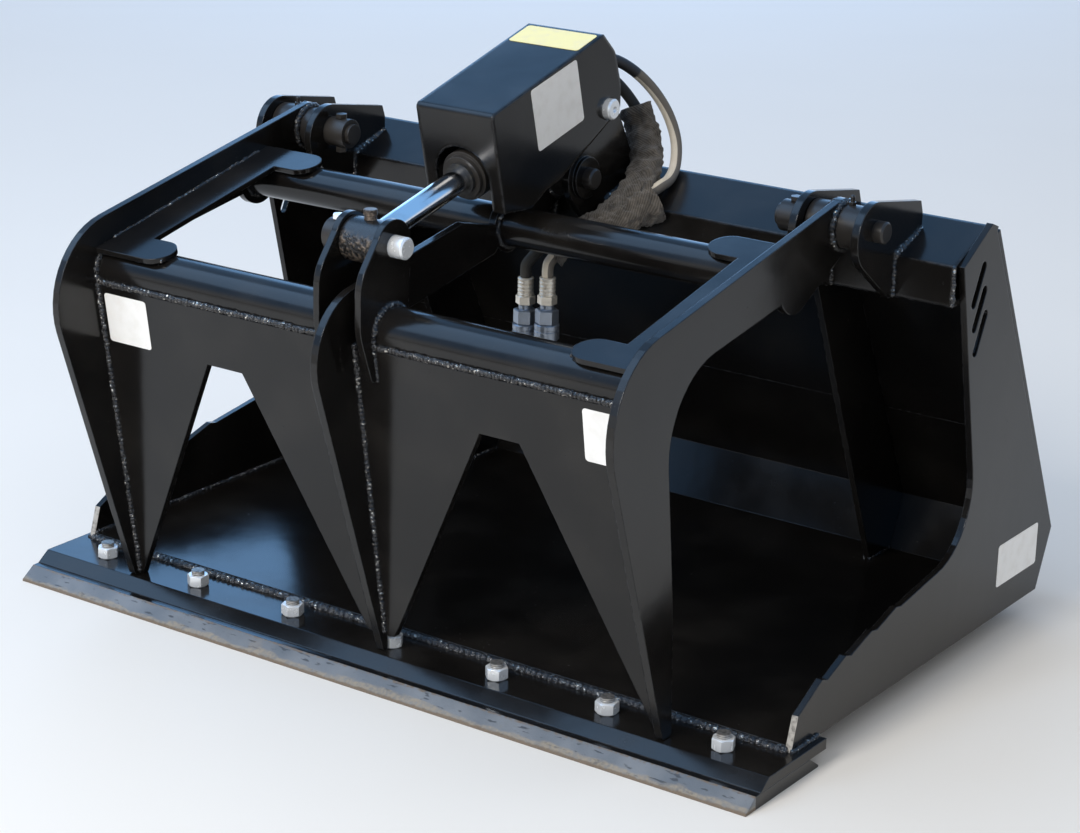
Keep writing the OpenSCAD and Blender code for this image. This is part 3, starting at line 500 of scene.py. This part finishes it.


# Black paint
# Nearly all of the steel is sprayed and baked in gloss black. The film has a fine orange peel,
# and is a little thin and dull along the edges. Turned parts are satin. The side plates' front
# end faces are painted pale grey in patches, a painted highlight of the light from the front.
def steel_paint(name, bend, dark=0.0065, dull=0.15, highlight_depth=None):
    """The black paint: the radius of its edges, how dark and dull it is, and how far back its front faces
    are painted pale as a highlight.
    """
    made, shade = new_finish(name)
    spot = shade.node("ShaderNodeTexCoord", output="Object")
    peel = shade.mottle(spot, 0.0016, 2)
    wave = shade.mottle(spot, 0.06, 2)
    haze = shade.mottle(spot, 0.09, 6).step(0.4, 0.75)
    specks = shade.mottle(spot, 0.004, 3).step(0.68, 0.76)
    rounding = shade.node("ShaderNodeBevel", {"Radius": bend}, samples=8)
    facing = shade.node("ShaderNodeNewGeometry", output="Normal")
    both_normals = {0: rounding, 1: facing}
    flat = shade.node("ShaderNodeVectorMath", both_normals, output="Value", operation="DOT_PRODUCT")
    thin = (1 - flat).step(0.02, 0.16) * shade.mottle(spot, 0.012, 4).step(0.35, 0.62)
    film = shade.colour((dark, dark * 0.91, dark * 0.85, 1), (dark * 2.1, dark * 1.9, dark * 1.7, 1), haze)
    worn = shade.colour(film, (0.05, 0.052, 0.058, 1), thin * 0.5 + specks * 0.12)
    # Front faces ahead of this depth are painted pale grey in patches: a painted highlight of the light
    # from the front.
    if highlight_depth:
        depth = shade.node("ShaderNodeSeparateXYZ", {0: spot}, output="Y")
        near = 1 - (depth + shade.mottle(spot, 0.008, 4) * 0.002).step(highlight_depth, highlight_depth + 0.001)
        ahead = 1 - shade.node("ShaderNodeSeparateXYZ", {0: facing}, output="Y").step(-0.9, -0.8)
        patchy = shade.mottle(spot, 0.005, 5).step(0.25, 0.6) * 0.5 + 0.35
        worn = shade.colour(worn, (0.52, 0.50, 0.47, 1), near * ahead * patchy)
    set_finish(
        made,
        Base_Color=worn,
        Roughness=dull + haze * 0.07 + thin * 0.16 + specks * 0.1,
        Normal=shade.bump(peel, 0.00002, shade.bump(wave, 0.0003, rounding)),
        Specular_IOR_Level=0.36,
    )
    return made


paint = steel_paint("black_paint", 0.0018)
folded_paint = steel_paint("black_paint_on_folds", 0.006)
satin_paint = steel_paint("black_paint_on_turned_parts", 0.0012, 0.020, 0.30)
plate_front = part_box("side_plate_left")[0].y
side_paint = steel_paint("black_paint_on_side_plates", 0.0018, highlight_depth=plate_front + 0.014)
painted = (
    (paint, (
        "base_edge", "wear_strips", "floor_and_back", "upper_back_plate", "rib_left", "rib_right",
        "hinge_ears_left", "hinge_ears_right", "cylinder_brackets", "attach_plate", "attach_hook",
        "attach_lip", "arm_left", "arm_right", "centre_tine_plate", "lug_left", "lug_right",
        "front_tube_left", "front_tube_right", "rear_tube_left", "rear_tube_right", "front_plate_left",
        "front_plate_right", "gusset_left", "gusset_right", "cylinder_barrel", "guard_mount",
    )),
    (folded_paint, ("cross_beam", "cylinder_guard")),
    (side_paint, ("side_plate_left", "side_plate_right")),
    (satin_paint, (
        "hinge_boss_left", "hinge_boss_right", "hinge_boss_centre", "hinge_pin_left", "hinge_pin_right",
        "hinge_pin_centre", "pin_collars", "collar_bolts", "hinge_grease_fittings", "clevis_collar",
        "cylinder_gland",
    )),
)
for coat, names in painted:
    for name in names:
        dress(nodes[name], coat)


# Cutting edge
# A bolt-on bar of hard steel. Its top is painted with the rest, and its bevel carries a worn
# grey coat with dark drag marks, a few brown stains, and a line of bare dirty steel at the tip.
edge_finish, shade = new_finish("cutting_edge_coat")
spot = shade.node("ShaderNodeTexCoord", output="Object")
depth = shade.node("ShaderNodeSeparateXYZ", {0: spot}, output="Y") - tip_y
height = shade.node("ShaderNodeSeparateXYZ", {0: spot}, output="Z")
streak_place = shade.node("ShaderNodeMapping", {"Vector": spot, "Scale": (0.22, 1, 1)})
marks = shade.mottle(streak_place, 0.0045, 4).step(0.60, 0.66)
clouds = shade.mottle(spot, 0.07, 4).step(0.3, 0.7)
bare = 1 - (depth + shade.mottle(spot, 0.02, 4) * 0.002).step(0.0203, 0.0212)
stain = shade.mottle(spot, 0.045, 6).step(0.62, 0.72)
tip = 1 - (height + shade.mottle(spot, 0.006, 5) * 0.003).step(0.0042, 0.0056)
fine_grit = shade.mottle(spot, 0.005, 5).step(0.35, 0.65)
rounding = shade.node("ShaderNodeBevel", {"Radius": 0.0012}, samples=4)
ragged = shade.mottle(shade.node("ShaderNodeMapping", {"Vector": spot, "Scale": (0.35, 1, 1)}), 0.012, 6)
coat = shade.colour((0.115, 0.13, 0.15, 1), (0.185, 0.20, 0.22, 1), clouds)
marked = shade.colour(coat, (0.035, 0.036, 0.04, 1), marks * 0.8)
low_dirt = 1 - (height + ragged * 0.012).step(0.011, 0.0135)
top_dirt = (height + ragged * 0.004).step(0.0163, 0.0172)
stained = shade.colour(marked, (0.27, 0.22, 0.16, 1), stain * 0.35)
smeared = shade.colour(stained, (0.30, 0.26, 0.20, 1), low_dirt * (0.35 + fine_grit * 0.5))
rusty = shade.maths("MAXIMUM", tip * 0.85, top_dirt * fine_grit)
dirty = shade.colour(smeared, (0.16, 0.12, 0.085, 1), rusty)
top_coat = shade.colour((0.0055, 0.0056, 0.0062, 1), (0.012, 0.0125, 0.014, 1), shade.mottle(spot, 0.09, 6))
set_finish(
    edge_finish,
    Base_Color=shade.colour(top_coat, dirty, bare),
    Roughness=0.14 + bare * (0.26 + tip * 0.2 + low_dirt * 0.15),
    Normal=shade.bump((shade.mottle(spot, 0.003, 4) - marks * 0.5) * bare, 0.0003, rounding),
    Specular_IOR_Level=0.45,
)
dress(nodes["cutting_edge"], edge_finish)


# Edge bolts
# Seven zinc plated steel bolts come up through both edges. Their rolled threads show above the
# nuts, oily and brown in the grooves, one turn every 2.3 mm.
thread_rate = 2730
threaded, shade = new_finish("bolt_thread")
spot = shade.node("ShaderNodeTexCoord", output="Object")
height = shade.node("ShaderNodeSeparateXYZ", {0: spot}, output="Z")
turns = shade.maths("SINE", height * thread_rate).step(-0.4, 0.4)
oily = shade.mottle(spot, 0.004, 4).step(0.4, 0.7)
set_finish(
    threaded,
    Base_Color=shade.colour((0.62, 0.58, 0.53, 1), (0.10, 0.085, 0.07, 1), oily * 0.3 + (1 - turns) * 0.6),
    Metallic=0.7,
    Roughness=0.35 + oily * 0.2,
    Normal=shade.bump(turns, 0.0006),
)
dress(nodes["edge_bolts"], threaded)


# Edge nuts
# Seven bright zinc hexagon nuts hold the edge. Each is cold formed, with its corners turned
# off at both ends and a low washer face under it.
bolt_pitch = 0.1524
nut_low, nut_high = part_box("edge_nuts")
nut_tall = nut_high.z - nut_low.z
nut_corner = (nut_high.x - nut_low.x - 6 * bolt_pitch) / 2
nut_flat = nut_corner * math.cos(math.pi / 6)
nut_steps = [
    (0, nut_flat * 0.97), (0.0012, nut_corner), (nut_tall - 0.0016, nut_corner),
    (nut_tall - 0.0006, nut_flat * 0.98), (nut_tall, nut_flat * 0.98),
]
nuts = []
for k in range(-3, 4):
    deselect()
    nut_place = Vector((k * bolt_pitch, (nut_low.y + nut_high.y) / 2, nut_low.z + nut_tall / 2))
    bpy.ops.mesh.primitive_cylinder_add(vertices=6, radius=nut_corner, depth=nut_tall, location=nut_place)
    nut = bpy.context.object
    nut.rotation_euler.z = math.radians(30 + k * 17)
    bpy.ops.object.transform_apply(location=True, rotation=True, scale=True)
    corner_tool = turned("nut_corner_tool", nut_place + Vector((0, 0, nut_tall / 2)), nut_steps, 48)
    deselect()
    bpy.context.view_layer.objects.active = nut
    cut = nut.modifiers.new("turned_corners", "BOOLEAN")
    cut.operation = "INTERSECT"
    cut.object = corner_tool
    bpy.ops.object.modifier_apply(modifier="turned_corners")
    bpy.data.objects.remove(corner_tool)
    nuts.append(nut)
edge_nuts = joined("edge_nuts_zinc", nuts)
deselect()
edge_nuts.select_set(True)
bpy.context.view_layer.objects.active = edge_nuts
bpy.ops.object.shade_smooth_by_angle(angle=math.radians(12))
dress(edge_nuts, zinc)
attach(edge_nuts, "bucket")
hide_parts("edge_nuts")


# Zinc pins and fittings
# The clevis pin, the cylinder's base pin, the clevis bolt and the port elbows are bought in,
# zinc plated, and fitted after painting.
for name in ("clevis_bolt", "clevis_pin", "cylinder_base_pin", "port_elbows"):
    dress(nodes[name], zinc)


# Bare steel
# Bushes and the piston are turned steel with fine tool marks, dark with grease. They are
# all but hidden inside the bosses and the barrel.
bare_steel, shade = new_finish("turned_steel")
spot = shade.node("ShaderNodeTexCoord", output="Object")
grease = shade.mottle(spot, 0.012, 5).step(0.35, 0.7)
ring_rate = 9000
rings = shade.maths("SINE", shade.node("ShaderNodeSeparateXYZ", {0: spot}, output="X") * ring_rate)
set_finish(
    bare_steel,
    Base_Color=shade.colour((0.3, 0.29, 0.28, 1), (0.09, 0.08, 0.07, 1), grease),
    Metallic=0.9,
    Roughness=0.34 + grease * 0.2,
    Normal=shade.bump(rings, 0.00002),
)
for name in ("hinge_bushes", "cylinder_piston"):
    dress(nodes[name], bare_steel)


# Cylinder rod
# The rod is ground and hard chromed, so it mirrors its surroundings, with the faintest marks
# along it from sliding through the gland. A greasy rubber wiper in the gland keeps it clean.
chrome, shade = new_finish("hard_chrome")
spot = shade.node("ShaderNodeTexCoord", output="Object")
drag_place = shade.node("ShaderNodeMapping", {"Vector": spot, "Scale": (1, 0.03, 0.2)})
drag = shade.mottle(drag_place, 0.0015, 4)
film = shade.mottle(spot, 0.03, 4).step(0.4, 0.7)
set_finish(
    chrome,
    Base_Color=shade.colour((0.75, 0.76, 0.78, 1), (0.6, 0.6, 0.6, 1), film * 0.5),
    Metallic=1.0,
    Roughness=0.1 + film * 0.08 + drag * 0.05,
    Normal=shade.bump(drag, 0.00001),
)
dress(nodes["cylinder_rod"], chrome)
wiper_rubber, shade = new_finish("wiper_rubber")
spot = shade.node("ShaderNodeTexCoord", output="Object")
greasy = shade.mottle(spot, 0.006, 4).step(0.4, 0.7)
set_finish(
    wiper_rubber,
    Base_Color=shade.colour((0.012, 0.012, 0.013, 1), (0.04, 0.037, 0.03, 1), greasy),
    Roughness=0.55 - greasy * 0.25,
    Normal=shade.bump(shade.mottle(spot, 0.0008, 2), 0.0001),
)
dress(nodes["rod_wiper"], wiper_rubber)


# Rod eye
# The eye at the end of the rod is a short piece of thick tube, welded on by hand. The weld was
# built up over its front and left rough under the paint. The tops of its lumps are painted a
# lighter metallic brown, partly the weld's own colour and partly painted glints.
eye_finish, shade = new_finish("rod_eye_paint")
spot = shade.node("ShaderNodeTexCoord", output="Object")
eye_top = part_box("rod_eye")[1].z
drop = eye_top - shade.node("ShaderNodeSeparateXYZ", {0: spot}, output="Z")
rough = (drop + shade.mottle(spot, 0.012, 3) * 0.01).step(0.014, 0.024)
lumps = shade.mottle(spot, 0.0042, 5)
# Lump tops painted lighter metallic brown: partly weld colour, partly painted glints.
ridge_colour_and_glint = rough * lumps.step(0.48, 0.62)
set_finish(
    eye_finish,
    Base_Color=shade.colour((0.010, 0.009, 0.0085, 1), (0.17, 0.135, 0.105, 1), ridge_colour_and_glint),
    Metallic=ridge_colour_and_glint * 0.6,
    Roughness=0.22 + lumps * 0.12,
    Normal=shade.bump(lumps * rough, 0.004, shade.node("ShaderNodeBevel", {"Radius": 0.002}, samples=4)),
)
dress(nodes["rod_eye"], eye_finish)


# Grease boss
# The fitting on top of the rod eye sits in a short thick pipe that guards it. The pipe is
# burnt and spattered by its own weld.
fitting_low, fitting_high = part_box("eye_grease_fitting")
fitting_middle = (fitting_low + fitting_high) / 2
boss_top = Vector((fitting_middle.x, fitting_middle.y, fitting_high.z))
boss_tall = fitting_high.z - fitting_low.z
boss_pipe = turned("boss_pipe", boss_top, [
    (0, 0.0052), (0, 0.0072), (0.0008, 0.0080), (boss_tall * 0.55, 0.0080), (boss_tall * 0.62, 0.0070),
    (boss_tall, 0.0074), (boss_tall, 0.0050), (boss_tall * 0.5, 0.0050), (0.0004, 0.0052),
], 24)
nipple = turned("nipple", boss_top - Vector((0, 0, 0.0018)), [
    (0, 0.0012), (0.0008, 0.0026), (0.0022, 0.0030), (0.0034, 0.0019), (0.0050, 0.0022), (0.0055, 0.0042),
    (boss_tall * 0.8, 0.0042),
], 16)
grease_boss = joined("eye_grease_boss", [boss_pipe, nipple])
burnt, shade = new_finish("burnt_steel")
spot = shade.node("ShaderNodeTexCoord", output="Object")
scale_marks = shade.mottle(spot, 0.003, 5).step(0.35, 0.7)
set_finish(
    burnt,
    Base_Color=shade.colour((0.05, 0.04, 0.034, 1), (0.22, 0.17, 0.13, 1), scale_marks),
    Metallic=0.5,
    Roughness=0.28 + scale_marks * 0.2,
    Normal=shade.bump(shade.mottle(spot, 0.002, 4), 0.001),
)
dress(grease_boss, burnt)
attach(grease_boss, "rod")
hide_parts("eye_grease_fitting")


# Weld beads
# Plates, tubes and bosses are joined by hand-laid fillet welds, which show as rough rippled
# beads under the paint. Each bead is a row of overlapping drops of metal. Pale metallic specks
# on the beads are painted glints.
bead_paint, shade = new_finish("painted_weld")
spot = shade.node("ShaderNodeTexCoord", output="Object")
grit = shade.mottle(spot, 0.0024, 4)
# Pale metallic specks on the beads are painted glints.
glint = shade.mottle(spot, 0.0045, 3).step(0.60, 0.66)
scale_colour = shade.colour((0.009, 0.009, 0.0095, 1), (0.028, 0.023, 0.019, 1), grit.step(0.4, 0.7))
set_finish(
    bead_paint,
    Base_Color=shade.colour(scale_colour, (0.62, 0.58, 0.52, 1), glint * 0.8),
    Metallic=glint,
    Roughness=0.08 + grit * 0.1,
    Normal=shade.bump(grit, 0.002),
    Specular_IOR_Level=0.7,
)
bead_lumps = bpy.data.textures.new("bead_lumps", "CLOUDS")
bead_lumps.noise_scale = 0.0045


def weld_drop(centre, size):
    """One drop of weld metal: a small ball with a few dozen faces."""
    deselect()
    bpy.ops.mesh.primitive_uv_sphere_add(segments=8, ring_count=5, radius=size, location=centre)
    return bpy.context.object


def weld_line(start, end, size):
    """A straight bead from one point to another."""
    run = end - start
    count = max(2, round(run.length / (size * 1.2)))
    drop = weld_drop(start, size)
    bpy.ops.object.transform_apply(location=True, rotation=False, scale=False)
    row = drop.modifiers.new("row", "ARRAY")
    row.count = count + 1
    row.use_relative_offset = False
    row.use_constant_offset = True
    row.constant_offset_displace = run / count
    bpy.ops.object.modifier_apply(modifier="row")
    return drop


def side_bead(x, start, end, size):
    """A straight bead on a face that looks sideways, between two points given as (y, z)."""
    return weld_line(place(x, *start), place(x, *end), size)


def weld_ring(x, middle, radius, size):
    """A bead all round a tube that runs across the bucket, whose middle is at (y, z)."""
    centre = place(x, *middle)
    ring = weld_drop(centre - Vector((0, radius, 0)), size)
    bpy.ops.object.transform_apply(location=True, rotation=False, scale=False)
    bpy.ops.object.mode_set(mode="EDIT")
    bpy.ops.mesh.select_all(action="SELECT")
    count = round(radius * math.tau / size)
    bpy.ops.mesh.spin(steps=count, dupli=True, angle=-math.tau, center=centre, axis=(1, 0, 0))
    bpy.ops.object.mode_set(mode="OBJECT")
    return ring


def welded(name, beads, body):
    """All the beads of one body as one lumpy painted piece."""
    piece = joined(name, beads)
    uneven = piece.modifiers.new("uneven", "DISPLACE")
    uneven.texture = bead_lumps
    uneven.texture_coords = "LOCAL"
    uneven.mid_level = 0.5
    uneven.strength = 0.0042
    bpy.ops.object.modifier_apply(modifier="uneven")
    bpy.ops.object.shade_smooth()
    dress(piece, bead_paint)
    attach(piece, body)


def span(name):
    """Where a CAD piece starts and ends across the bucket."""
    low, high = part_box(name)
    return low.x, high.x


arm_in, arm_out = span("arm_right")
lug_in, lug_out = span("lug_right")
rib_in, rib_out = span("rib_right")
side_in, side_out = span("side_plate_right")
ear_in, ear_out = span("hinge_ears_right")
tine_face = span("centre_tine_plate")[1]
ear_thick = arm_out - arm_in
bracket_in = 0.032
# The middles of the tubes and two points on the face of the front plates, as (y, z)
hinge, front_tube, rear_tube = (0.392, 0.540), (0.030, 0.430), (0.293, 0.494)
plate_high, plate_low = (0.002, 0.405), (0.0598, 0.0291)
plate_lean = (plate_low[0] - plate_high[0]) / (plate_high[1] - plate_low[1])
plate_top = 0.415
behind_plate = Vector((0, 0.0105, 0))
beads = []
for side in (-1, 1):
    # The hinge bosses and the two cross tubes
    for face in (arm_out, arm_in):
        beads.append(weld_ring(side * face, hinge, radius=0.0262, size=0.0052))
    beads.append(weld_ring(side * tine_face, hinge, radius=0.0262, size=0.0034))
    for face in (arm_in, lug_out):
        beads.append(weld_ring(side * face, front_tube, radius=0.0312, size=0.0044))
    for face in (arm_in, tine_face):
        beads.append(weld_ring(side * face, rear_tube, radius=0.0252, size=0.0034))
    # The front plate's sides, before and behind, and its top edge
    for face, bead_foot in ((arm_in, 0.034), (tine_face, 0.055)):
        drop = plate_top - bead_foot
        top = place(side * face, 0.0005, plate_top)
        foot = top + Vector((0, plate_lean * drop, -drop))
        beads.append(weld_line(top, foot, size=0.0046))
        beads.append(weld_line(top + behind_plate, foot + behind_plate, size=0.0032))
    for y, z, size in ((0.0, 0.4195, 0.0042), (0.012, 0.405, 0.0032)):
        beads.append(weld_line(place(side * 0.036, y, z), place(side * 0.385, y, z), size))
    # The lug's front edge and the gusset strip
    for face in (lug_in, lug_out):
        beads.append(side_bead(side * face, (-0.0008, 0.420), (0.0062, 0.380), size=0.0030))
    beads.append(side_bead(side * arm_in, (0.032, 0.4665), (0.290, 0.5245), size=0.0030))
    gusset_start, gusset_end = place(side * 0.291, 0.010, 0.4585), place(side * 0.338, 0.010, 0.4585)
    beads.append(weld_line(gusset_start, gusset_end, size=0.0026))
welded("weld_beads_grapple", beads, "grapple")

ear_faces = (
    ear_in, ear_in + ear_thick, ear_out - ear_thick, ear_out, bracket_in, bracket_in + ear_thick,
)
bead_z = 0.0358
# The long bead behind the base edge, then each side
beads = [weld_line(place(-0.513, 0.1105, 0.0288), place(0.513, 0.1105, 0.0288), size=0.0066)]
for side in (-1, 1):
    inside = side * side_in
    outside = side * (side_out + 0.0004)
    # The side plate's foot, inside and outside
    beads.append(side_bead(inside, (0.116, bead_z), (0.708, bead_z), size=0.0032))
    beads.append(side_bead(outside, (0.112, 0.0292), (0.166, 0.0292), size=0.0036))
    # The hinge ears and the cylinder bracket, on the front and the top of the beam
    for face in ear_faces:
        beads.append(side_bead(side * face, (0.4372, 0.457), (0.4372, 0.500), size=0.0038))
        beads.append(side_bead(side * face, (0.440, 0.504), (0.497, 0.5205), size=0.0062))
    # The rib's foot and the beam's end
    for face in (rib_in, rib_out):
        beads.append(side_bead(side * face, (0.656, bead_z), (0.704, bead_z), size=0.0030))
    beads.append(side_bead(inside, (0.438, 0.458), (0.438, 0.500), size=0.0030))
welded("weld_beads_bucket", beads, "bucket")


# Blank stickers
# Five plain vinyl stickers with rounded corners: pale ones on both front plates, the right side
# plate and the guard's right side, and a yellow one on its top. They carry only dust.
def vinyl(name, clean):
    """Vinyl of one plain colour with a little dust."""
    made, shade = new_finish(name)
    spot = shade.node("ShaderNodeTexCoord", output="Object")
    dusty = shade.mottle(spot, 0.018, 5).step(0.4, 0.8)
    set_finish(
        made,
        Base_Color=shade.colour(clean, (0.70, 0.68, 0.64, 1), dusty * 0.4),
        Roughness=0.38 + dusty * 0.2,
        Normal=shade.bump(shade.mottle(spot, 0.008, 3), 0.0001),
    )
    return made


pale_vinyl = vinyl("blank_vinyl", (0.90, 0.90, 0.89, 1))
yellow_vinyl = vinyl("blank_yellow_vinyl", (0.91, 0.83, 0.38, 1))


def sticker(name, middle, right, up, width, height, body, film=pale_vinyl):
    """A thin rounded rectangle laid on a surface, seen with right and up along its sides."""
    deselect()
    bpy.ops.mesh.primitive_plane_add(size=1)
    piece = bpy.context.object
    piece.scale = (width, height, 1)
    bpy.ops.object.transform_apply(location=False, rotation=False, scale=True)
    bpy.ops.object.mode_set(mode="EDIT")
    bpy.ops.mesh.select_all(action="SELECT")
    bpy.ops.mesh.bevel(offset=0.004, segments=5, affect="VERTICES")
    bpy.ops.mesh.select_all(action="SELECT")
    bpy.ops.mesh.extrude_region_move(TRANSFORM_OT_translate={"value": (0, 0, 0.0005)})
    bpy.ops.mesh.select_all(action="SELECT")
    bpy.ops.mesh.normals_make_consistent(inside=False)
    bpy.ops.object.mode_set(mode="OBJECT")
    right = right.normalized()
    up = up.normalized()
    out = right.cross(up)
    piece.matrix_world = Matrix.Translation(middle) @ Matrix((right, up, out)).transposed().to_4x4()
    settle(name)
    dress(piece, film)
    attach(piece, body)


sideways = Vector((1, 0, 0))
backwards = Vector((0, 1, 0))
upwards = Vector((0, 0, 1))
plate_up = Vector((0, -plate_lean, 1))
plate_out = sideways.cross(plate_up).normalized()
for side, x in (("left", -0.344), ("right", 0.344)):
    middle = place(x, 0.0064, 0.376) + plate_out * 0.0001
    sticker(f"blank_sticker_{side}", middle, sideways, plate_up, 0.066, 0.062, "grapple")
# The guard lies along the cylinder, and its top slopes a little more
guard_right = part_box("cylinder_guard")[1].x
guard_along = Vector((0, 0.2425, 0.0625))
guard_up = sideways.cross(guard_along)
middle = place(guard_right, 0.3135, 0.642)
sticker("blank_sticker_guard", middle, guard_along, guard_up, 0.094, 0.077, "barrel")
guard_top = Vector((0, 0.220, 0.0615))
middle = place(0, 0.3785, 0.7047)
sticker("blank_sticker_guard_top", middle, sideways, guard_top, 0.100, 0.044, "barrel", yellow_vinyl)
middle = place(side_out, 0.6486, 0.0938)
sticker("blank_sticker_side", middle, backwards, upwards, 0.108, 0.054, "bucket")


# Floor and light
# A plain pale studio floor, one soft warm lamp in front and cooler, weaker ones on the left and
# behind. The surroundings are pale blue overhead, which the paint and the metal mirror.
deselect()
bpy.ops.mesh.primitive_plane_add(size=40, location=(0, 0, cad_box[0].z))
floor = settle("studio_floor")
floor_finish, shade = new_finish("pale_floor")
spot = shade.node("ShaderNodeTexCoord", output="Object")
set_finish(
    floor_finish,
    Base_Color=shade.colour((0.86, 0.85, 0.83, 1), (0.88, 0.87, 0.85, 1), shade.mottle(spot, 0.4, 2)),
    Roughness=0.8,
    Specular_IOR_Level=0.2,
)
dress(floor, floor_finish)
for lamp_name, lamp_place, aim, size, power, tint in (
    ("key_lamp", (-0.3, -3.9, 3.0), (0, 0, 0.3), 1.5, 135, (1.0, 0.95, 0.88)),
    ("side_lamp", (-2.2, -1.3, 3.4), (0, 0, 0.3), 2.9, 58, (0.42, 0.66, 1.0)),
    ("back_lamp", (-3.3, 4.7, 2.3), (0, 0, 0.4), 3.6, 66, (0.28, 0.56, 1.0)),
):
    lamp_place = Vector(lamp_place)
    facing = (Vector(aim) - lamp_place).to_track_quat("-Z", "Y").to_euler()
    bpy.ops.object.light_add(type="AREA", location=lamp_place, rotation=facing)
    lamp = bpy.context.object
    lamp.name = lamp_name
    lamp.data.size = size
    lamp.data.energy = power
    lamp.data.color = tint
world = bpy.data.worlds.new("pale_studio")
bpy.context.scene.world = world
world.use_nodes = True
sky = Shade(world.node_tree)
seen = sky.node("ShaderNodeLightPath", output="Is Camera Ray")
mirrored = sky.node("ShaderNodeLightPath", output="Is Glossy Ray")
through = sky.node("ShaderNodeLightPath", output="Is Transmission Ray")
shown = sky.maths("MAXIMUM", sky.maths("MAXIMUM", seen, mirrored), through)
backdrop = world.node_tree.nodes["Background"]
heading = sky.node("ShaderNodeTexCoord", output="Generated")
overhead = sky.node("ShaderNodeSeparateXYZ", {0: heading}, output="Z").step(0.02, 0.36)
seen_sky = sky.colour((0.90, 0.94, 1.0, 1), (0.26, 0.55, 1.0, 1), overhead)
sky_colour = sky.colour((0.97, 0.98, 1.0, 1), seen_sky, shown)
world.node_tree.links.new(sky_colour.socket, backdrop.inputs["Color"])
world.node_tree.links.new((0.55 + shown * 0.45).socket, backdrop.inputs["Strength"])
bpy.context.scene.view_settings.view_transform = "Standard"
